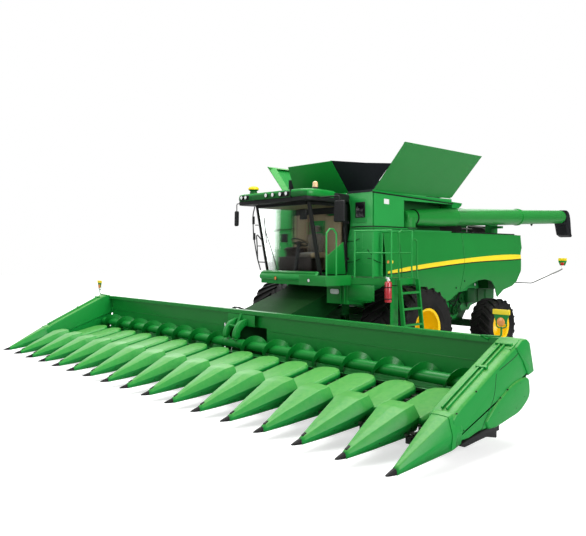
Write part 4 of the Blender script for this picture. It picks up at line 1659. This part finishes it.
tank_box = block((1.0, 1.2), (at(9.46), at(9.84)), (1.22, 1.62), 0.03)
make("shoe_arms_and_boxes", both(join(*arms, tank_box)), "chassis", green_frame)
housing = pressed([(at(8.3), 1.62), (at(8.3), 1.1), (at(8.62), 0.8), (at(9.55), 0.76), (at(9.82), 1.08),
    (at(10.3), 1.18), (at(10.9), 1.2), (at(11.2), 1.26), (at(11.2), 1.82), (at(9.6), 1.86)], "x", -0.97,
    0.97, 0.02)
ribs = [block((0.968, 0.985), (at(y), at(y + 0.03)), (low, high),
    0.003) for y, low, high in ((8.7, 0.84, 1.56), (9.16, 0.82, 1.6), (9.8, 1.12, 1.8), (10.3, 1.22, 1.82),
    (10.7, 1.24, 1.82))]
make("straw_chopper_housing", join(housing, both(join(*ribs))), "chassis", green_inner)
dot = lathe([(0.0, 0.034), (0.006, 0.036), (0.012, 0.03), (0.014, 0.001)], (1.2, at(9.8), 1.7), (1, 0, 0),
    24)
print("pulleys", len(wheels))

# %% [markdown]
# ## Platform, ladder and bottle
# The deck carries a thin sheet of steel pressed with a pattern of small raised bars. Toe boards
# close the edge below it, and every ladder tread has the same pressed top.

# %% Deck and treads
deck = 2.05
deck_outline = [(0.9, at(3.59)), (1.67, at(3.59)), (1.67, at(4.305)), (2.52, at(4.605)), (2.52, at(5.08)),
    (0.9, at(5.08))]
sheet_top = pressed(deck_outline, "z", deck + 0.0005, deck + 0.006, 0.002)
make("deck_grip_sheet", sheet_top, "chassis", grip_plate)
boards = [block((1.681, 1.69), (at(3.575), at(4.3)), (1.9, 2.11), 0.003),
    block((0.905, 1.69), (at(3.568), at(3.578)), (1.9, 2.11), 0.003),
    block((2.5, 2.515), (at(4.56), at(4.8)), (0.62, 1.9), 0.004),
    block((1.1, 2.3), (at(4.31), at(4.318)), (1.6, 1.915), 0.004)]
braces = [block((1.4, 1.44), (at(4.27), at(4.3)), (1.52, 2.0), 0.004),
    block((1.5, 1.54), (at(4.27), at(4.3)), (1.52, 2.0), 0.004)]
oval = pressed(soften([(1.11, 1.7), (1.36, 1.7), (1.36, 1.805), (1.11, 1.805)], 0.051, 6), "y", at(4.285),
    at(4.311), 0.004)
make("deck_front_lamp", oval, "chassis", white_lens)
make("toe_boards_and_braces", join(*boards, *braces), "chassis", green_enamel)
print("deck at", round(float(deck), 3))

# %% Fire bottle
bottle_x, bottle_y = 2.5, at(4.5)
bottle = lathe([(0.0, 0.06), (0.008, 0.07), (0.016, 0.0715), (0.385, 0.0715), (0.405, 0.062), (0.417, 0.04),
    (0.419, 0.001)], (bottle_x, bottle_y, 1.581), (0, 0, 1), 36)
make("fire_bottle", bottle, "chassis", red_enamel, ["fire_extinguisher"], sharp=50)
neck = lathe([(0.0, 0.024), (0.05, 0.026), (0.052, 0.018), (0.075, 0.018), (0.077, 0.001)],
    (bottle_x, bottle_y, 1.998), (0, 0, 1), 24)
handles = [block((bottle_x - 0.012, bottle_x + 0.012), (bottle_y - 0.072, bottle_y + 0.03), (2.052, 2.058),
    0.002), pipe([(bottle_x, bottle_y + 0.02, 2.07), (bottle_x, bottle_y - 0.072, 2.082)], 0.006, 0.0)]
gauge = lathe([(0.0, 0.016), (0.01, 0.018), (0.014, 0.014), (0.015, 0.001)],
    (bottle_x + 0.024, bottle_y, 2.025), (1, 0, 0), 20)
make("bottle_valve_and_gauge", join(neck, gauge, *handles), "chassis", white_plate)
straps = [lathe([(0.0, 0.001), (0.0, 0.0728), (0.02, 0.0728), (0.02, 0.001)], (bottle_x, bottle_y, z),
    (0, 0, 1), 36) for z in (1.64, 1.87)]
post = block((bottle_x - 0.03, bottle_x + 0.005), (bottle_y + 0.06, bottle_y + 0.078), (1.62, 1.92), 0.003)
make("bottle_straps", join(post, *straps), "chassis", black_enamel)
print("bottle stands at", round(bottle_x, 2))

# %% [markdown]
# ## Rear marker
# The bent arm behind the machine ends in a small lamp plate: yellow reflector on top, green body,
# red lens below and a white stub that holds it on the arm.

# %% Rear marker
arm_y = at(11.3)
arm = pipe([(1.441, at(10.93), 1.76), (1.5, at(10.93), 1.76), (1.54, arm_y, 1.725), (2.05, arm_y, 1.725),
    (2.83, arm_y, 2.09), (2.9, arm_y, 2.135)], 0.015, 0.05)
body = pressed([(2.788, 2.345), (2.79, 2.33), (2.835, 2.222), (2.965, 2.222), (3.01, 2.33), (3.012, 2.345)],
    "y", arm_y - 0.009, arm_y + 0.009, 0.003)
make("rear_marker_plate", body, "chassis", green_enamel, ["rear_marker"])
make("rear_marker_arm", arm, "chassis", cast_aluminium)
strip = pressed(rectangle(2.787, 3.013, 2.345, 2.418, 0.008, 3), "y", arm_y - 0.01, arm_y + 0.01, 0.003)
make("rear_marker_strip", strip, "chassis", yellow_band)
cone = pressed([(2.842, 2.3), (2.86, 2.24), (2.888, 2.217), (2.912, 2.217), (2.94, 2.24), (2.958, 2.3)],
    "y", arm_y - 0.0115, arm_y + 0.0115, 0.003)
make("rear_marker_lens", cone, "chassis", red_lens)
stub = lathe([(0.0, 0.02), (0.004, 0.024), (0.07, 0.024), (0.076, 0.018), (0.077, 0.001)],
    (2.9, arm_y, 2.142), (0, 0, 1), 20)
make("white_stub_and_dots", join(stub, dot), "chassis", white_plate)
print("rear marker reaches x", 3.01)

# %% [markdown]
# ## Engine deck and small marks
# Behind the hopper, the intake box has a slotted top and pale pipes run along the deck. Five dark
# curved lines on the hopper's walls are grab cords drawn as thin rubber tubes.

# %% Engine deck
intake = [block((-0.88, 0.88), (at(y), at(y + 0.03)), (3.42, 3.424), 0.001) for y in np.arange(8.36, 9.9,
    0.09)]
make("intake_slots", join(*intake), "chassis", black_moulded)
pipes = [pipe([(0.98, at(9.48), 3.2), (0.98, at(10.78), 3.18)], 0.034, 0.0, arc=16),
    pipe([(1.06, at(9.6), 3.1), (1.06, at(9.6), 3.27), (1.06, at(10.4), 3.25), (1.1, at(10.75), 3.1)], 0.02,
    0.08)]
make("pale_deck_pipes", join(*pipes), "chassis", cast_aluminium)
bracket = [block((0.96, 1.02), (at(10.86), at(11.28)), (3.058, 3.36), 0.01),
    block((0.62, 0.9), (at(9.2), at(9.93)), (3.42, 3.76), 0.02)]
machinery = [block((-0.9, 1.02), (at(9.96), at(10.7)), (3.058, 3.3), 0.02),
    block((0.2, 1.1), (at(8.22), at(9.3)), (3.058, 3.36), 0.02)]
make("deck_machinery", join(*machinery), "chassis", dark_iron)
make("deck_bracket_and_box", join(*bracket), "chassis", green_moulded)
band = block((1.02, 1.58), (at(8.3), at(11.2)), (3.057, 3.085), 0.004)
make("deck_shadow_gap", band, "chassis", black_enamel)
print("pipes", len(pipes))

# %% Grab cords
side, face = 1.622, 5.072
runs = [[(side, 5.939, 2.848), (side, 5.985, 2.735), (side, 6.033, 2.69), (side, 6.12, 2.645),
    (side, 6.205, 2.63), (side, 6.282, 2.653)], [(1.626, 4.89, 2.633), (1.626, 4.95, 2.57),
    (1.626, 5.066, 2.505)], [(1.626, 4.891, 2.449), (1.626, 5.05, 2.43), (1.626, 5.25, 2.36),
    (1.626, 5.446, 2.327)], [(0.615, face, 2.863), (0.72, face, 2.822), (0.901, face, 2.808),
    (1.1, face, 2.825), (1.237, face, 2.869)], [(0.678, face, 2.441), (0.78, face, 2.368),
    (0.903, face, 2.35), (1.1, face, 2.372), (1.259, face, 2.43)]]
cords = [pipe([(x, at(y), z) for x, y, z in run], 0.007, 0.03) for run in runs]
make("grab_cords", join(*cords), "chassis", sheet_rubber)
print("cords", len(cords))

# %% [markdown]
# ## Floor, light and camera
# A plain white floor keeps the machine's soft shadow. Of five broad lamps, the strongest two hang
# overhead and stand to the machine's left. One behind it and one on its right put a pale sheen on
# every top that faces up, and a weak one in front opens the shadows. The world is white where the
# camera looks straight at it, and far out the floor turns into the same white, so no horizon shows.

# %% Floor
reach = 60.0
floor_mesh = bpy.data.meshes.new("studio_floor")
floor_mesh.from_pydata([(-reach, -reach, 0), (reach, -reach, 0), (reach, reach, 0), (-reach, reach, 0)], [],
    [(0, 1, 2, 3)])
floor = bpy.data.objects.new("studio_floor", floor_mesh)
bpy.context.scene.collection.objects.link(floor)
floor_finish, tree, shader, place = material("white_studio_floor")
grain = add(tree, "ShaderNodeTexNoise", {"Vector": place, "Scale": 0.5})
pale = add(tree, "ShaderNodeMix", {"Factor": grain.outputs["Fac"], "A": linear("#c4c4c4"),
    "B": linear("#bebebe")}, data_type="RGBA")
tree.links.new(pale.outputs["Result"], shader.inputs["Base Color"])
shader.inputs["Roughness"].default_value = 0.9
shader.inputs["Emission Color"].default_value = (1, 1, 1, 1)
rays = add(tree, "ShaderNodeLightPath")
away = add(tree, "ShaderNodeVectorMath", {0: place}, operation="LENGTH")
far = add(tree, "ShaderNodeMapRange", {"Value": away.outputs["Value"], "From Min": 8.0, "From Max": 20.0,
    "To Min": 0.62, "To Max": 1.2})
lifted = add(tree, "ShaderNodeMath", {0: rays.outputs["Is Camera Ray"], 1: far.outputs["Result"]},
    operation="MULTIPLY")
tree.links.new(lifted.outputs[0], shader.inputs["Emission Strength"])
floor_mesh.materials.append(floor_finish)
print("floor", 2 * reach, "m square")

# %% World and lamps
world = bpy.data.worlds.new("white_room")
bpy.context.scene.world = world
world.use_nodes = True
tree = world.node_tree
background = tree.nodes["Background"]
rays = add(tree, "ShaderNodeLightPath")
seen = add(tree, "ShaderNodeMath", {0: rays.outputs["Is Camera Ray"],
    1: rays.outputs["Is Transmission Ray"]}, operation="MAXIMUM")
level = add(tree, "ShaderNodeMapRange", {"Value": seen.outputs[0], "To Min": 0.28, "To Max": 1.0})
tree.links.new(level.outputs["Result"], background.inputs["Strength"])
background.inputs["Color"].default_value = (1, 1, 1, 1)


def lamp(name, place, towards, width, height, watts):
    """A rectangular area lamp at a place, turned so that its -Z points towards the target."""
    light = bpy.data.lights.new(name, "AREA")
    light.shape, light.size, light.size_y, light.energy = "RECTANGLE", width, height, watts
    lamp_object = bpy.data.objects.new(name, light)
    bpy.context.scene.collection.objects.link(lamp_object)
    lamp_object.location = place
    aim = Vector(towards) - Vector(place)
    lamp_object.rotation_euler = aim.to_track_quat("-Z", "Y").to_euler()
    return lamp_object


MIDDLE = (0, at(5.0), 1.5)
lamp("overhead_soft_light", (0, at(5.0), 16), MIDDLE, 16, 16, 4300)
lamp("left_side_light", (30, at(3.5), 12), MIDDLE, 20, 14, 6800)
lamp("back_sheen_light", (-16, at(22.0), 9), MIDDLE, 30, 14, 2200)
lamp("right_sheen_light", (-28, at(7.0), 13), MIDDLE, 30, 16, 1900)
lamp("front_fill_light", (-5, at(-18.0), 10), MIDDLE, 14, 8, 1600)
print("lamps", len(bpy.data.lights))

# %% Camera
camera = bpy.data.cameras.new("camera")
camera.sensor_width, camera.lens, camera.clip_end = 36.0, 39.02, 400.0
viewer = bpy.data.objects.new("camera", camera)
bpy.context.scene.collection.objects.link(viewer)
viewer.location = (10.459, at(-5.39), 2.579)
viewer.rotation_euler = (radians(88.562), 0.0, radians(47.359))
bpy.context.scene.camera = viewer
bpy.context.scene.view_settings.view_transform = "Standard"
print("camera", [round(c, 3) for c in viewer.location])
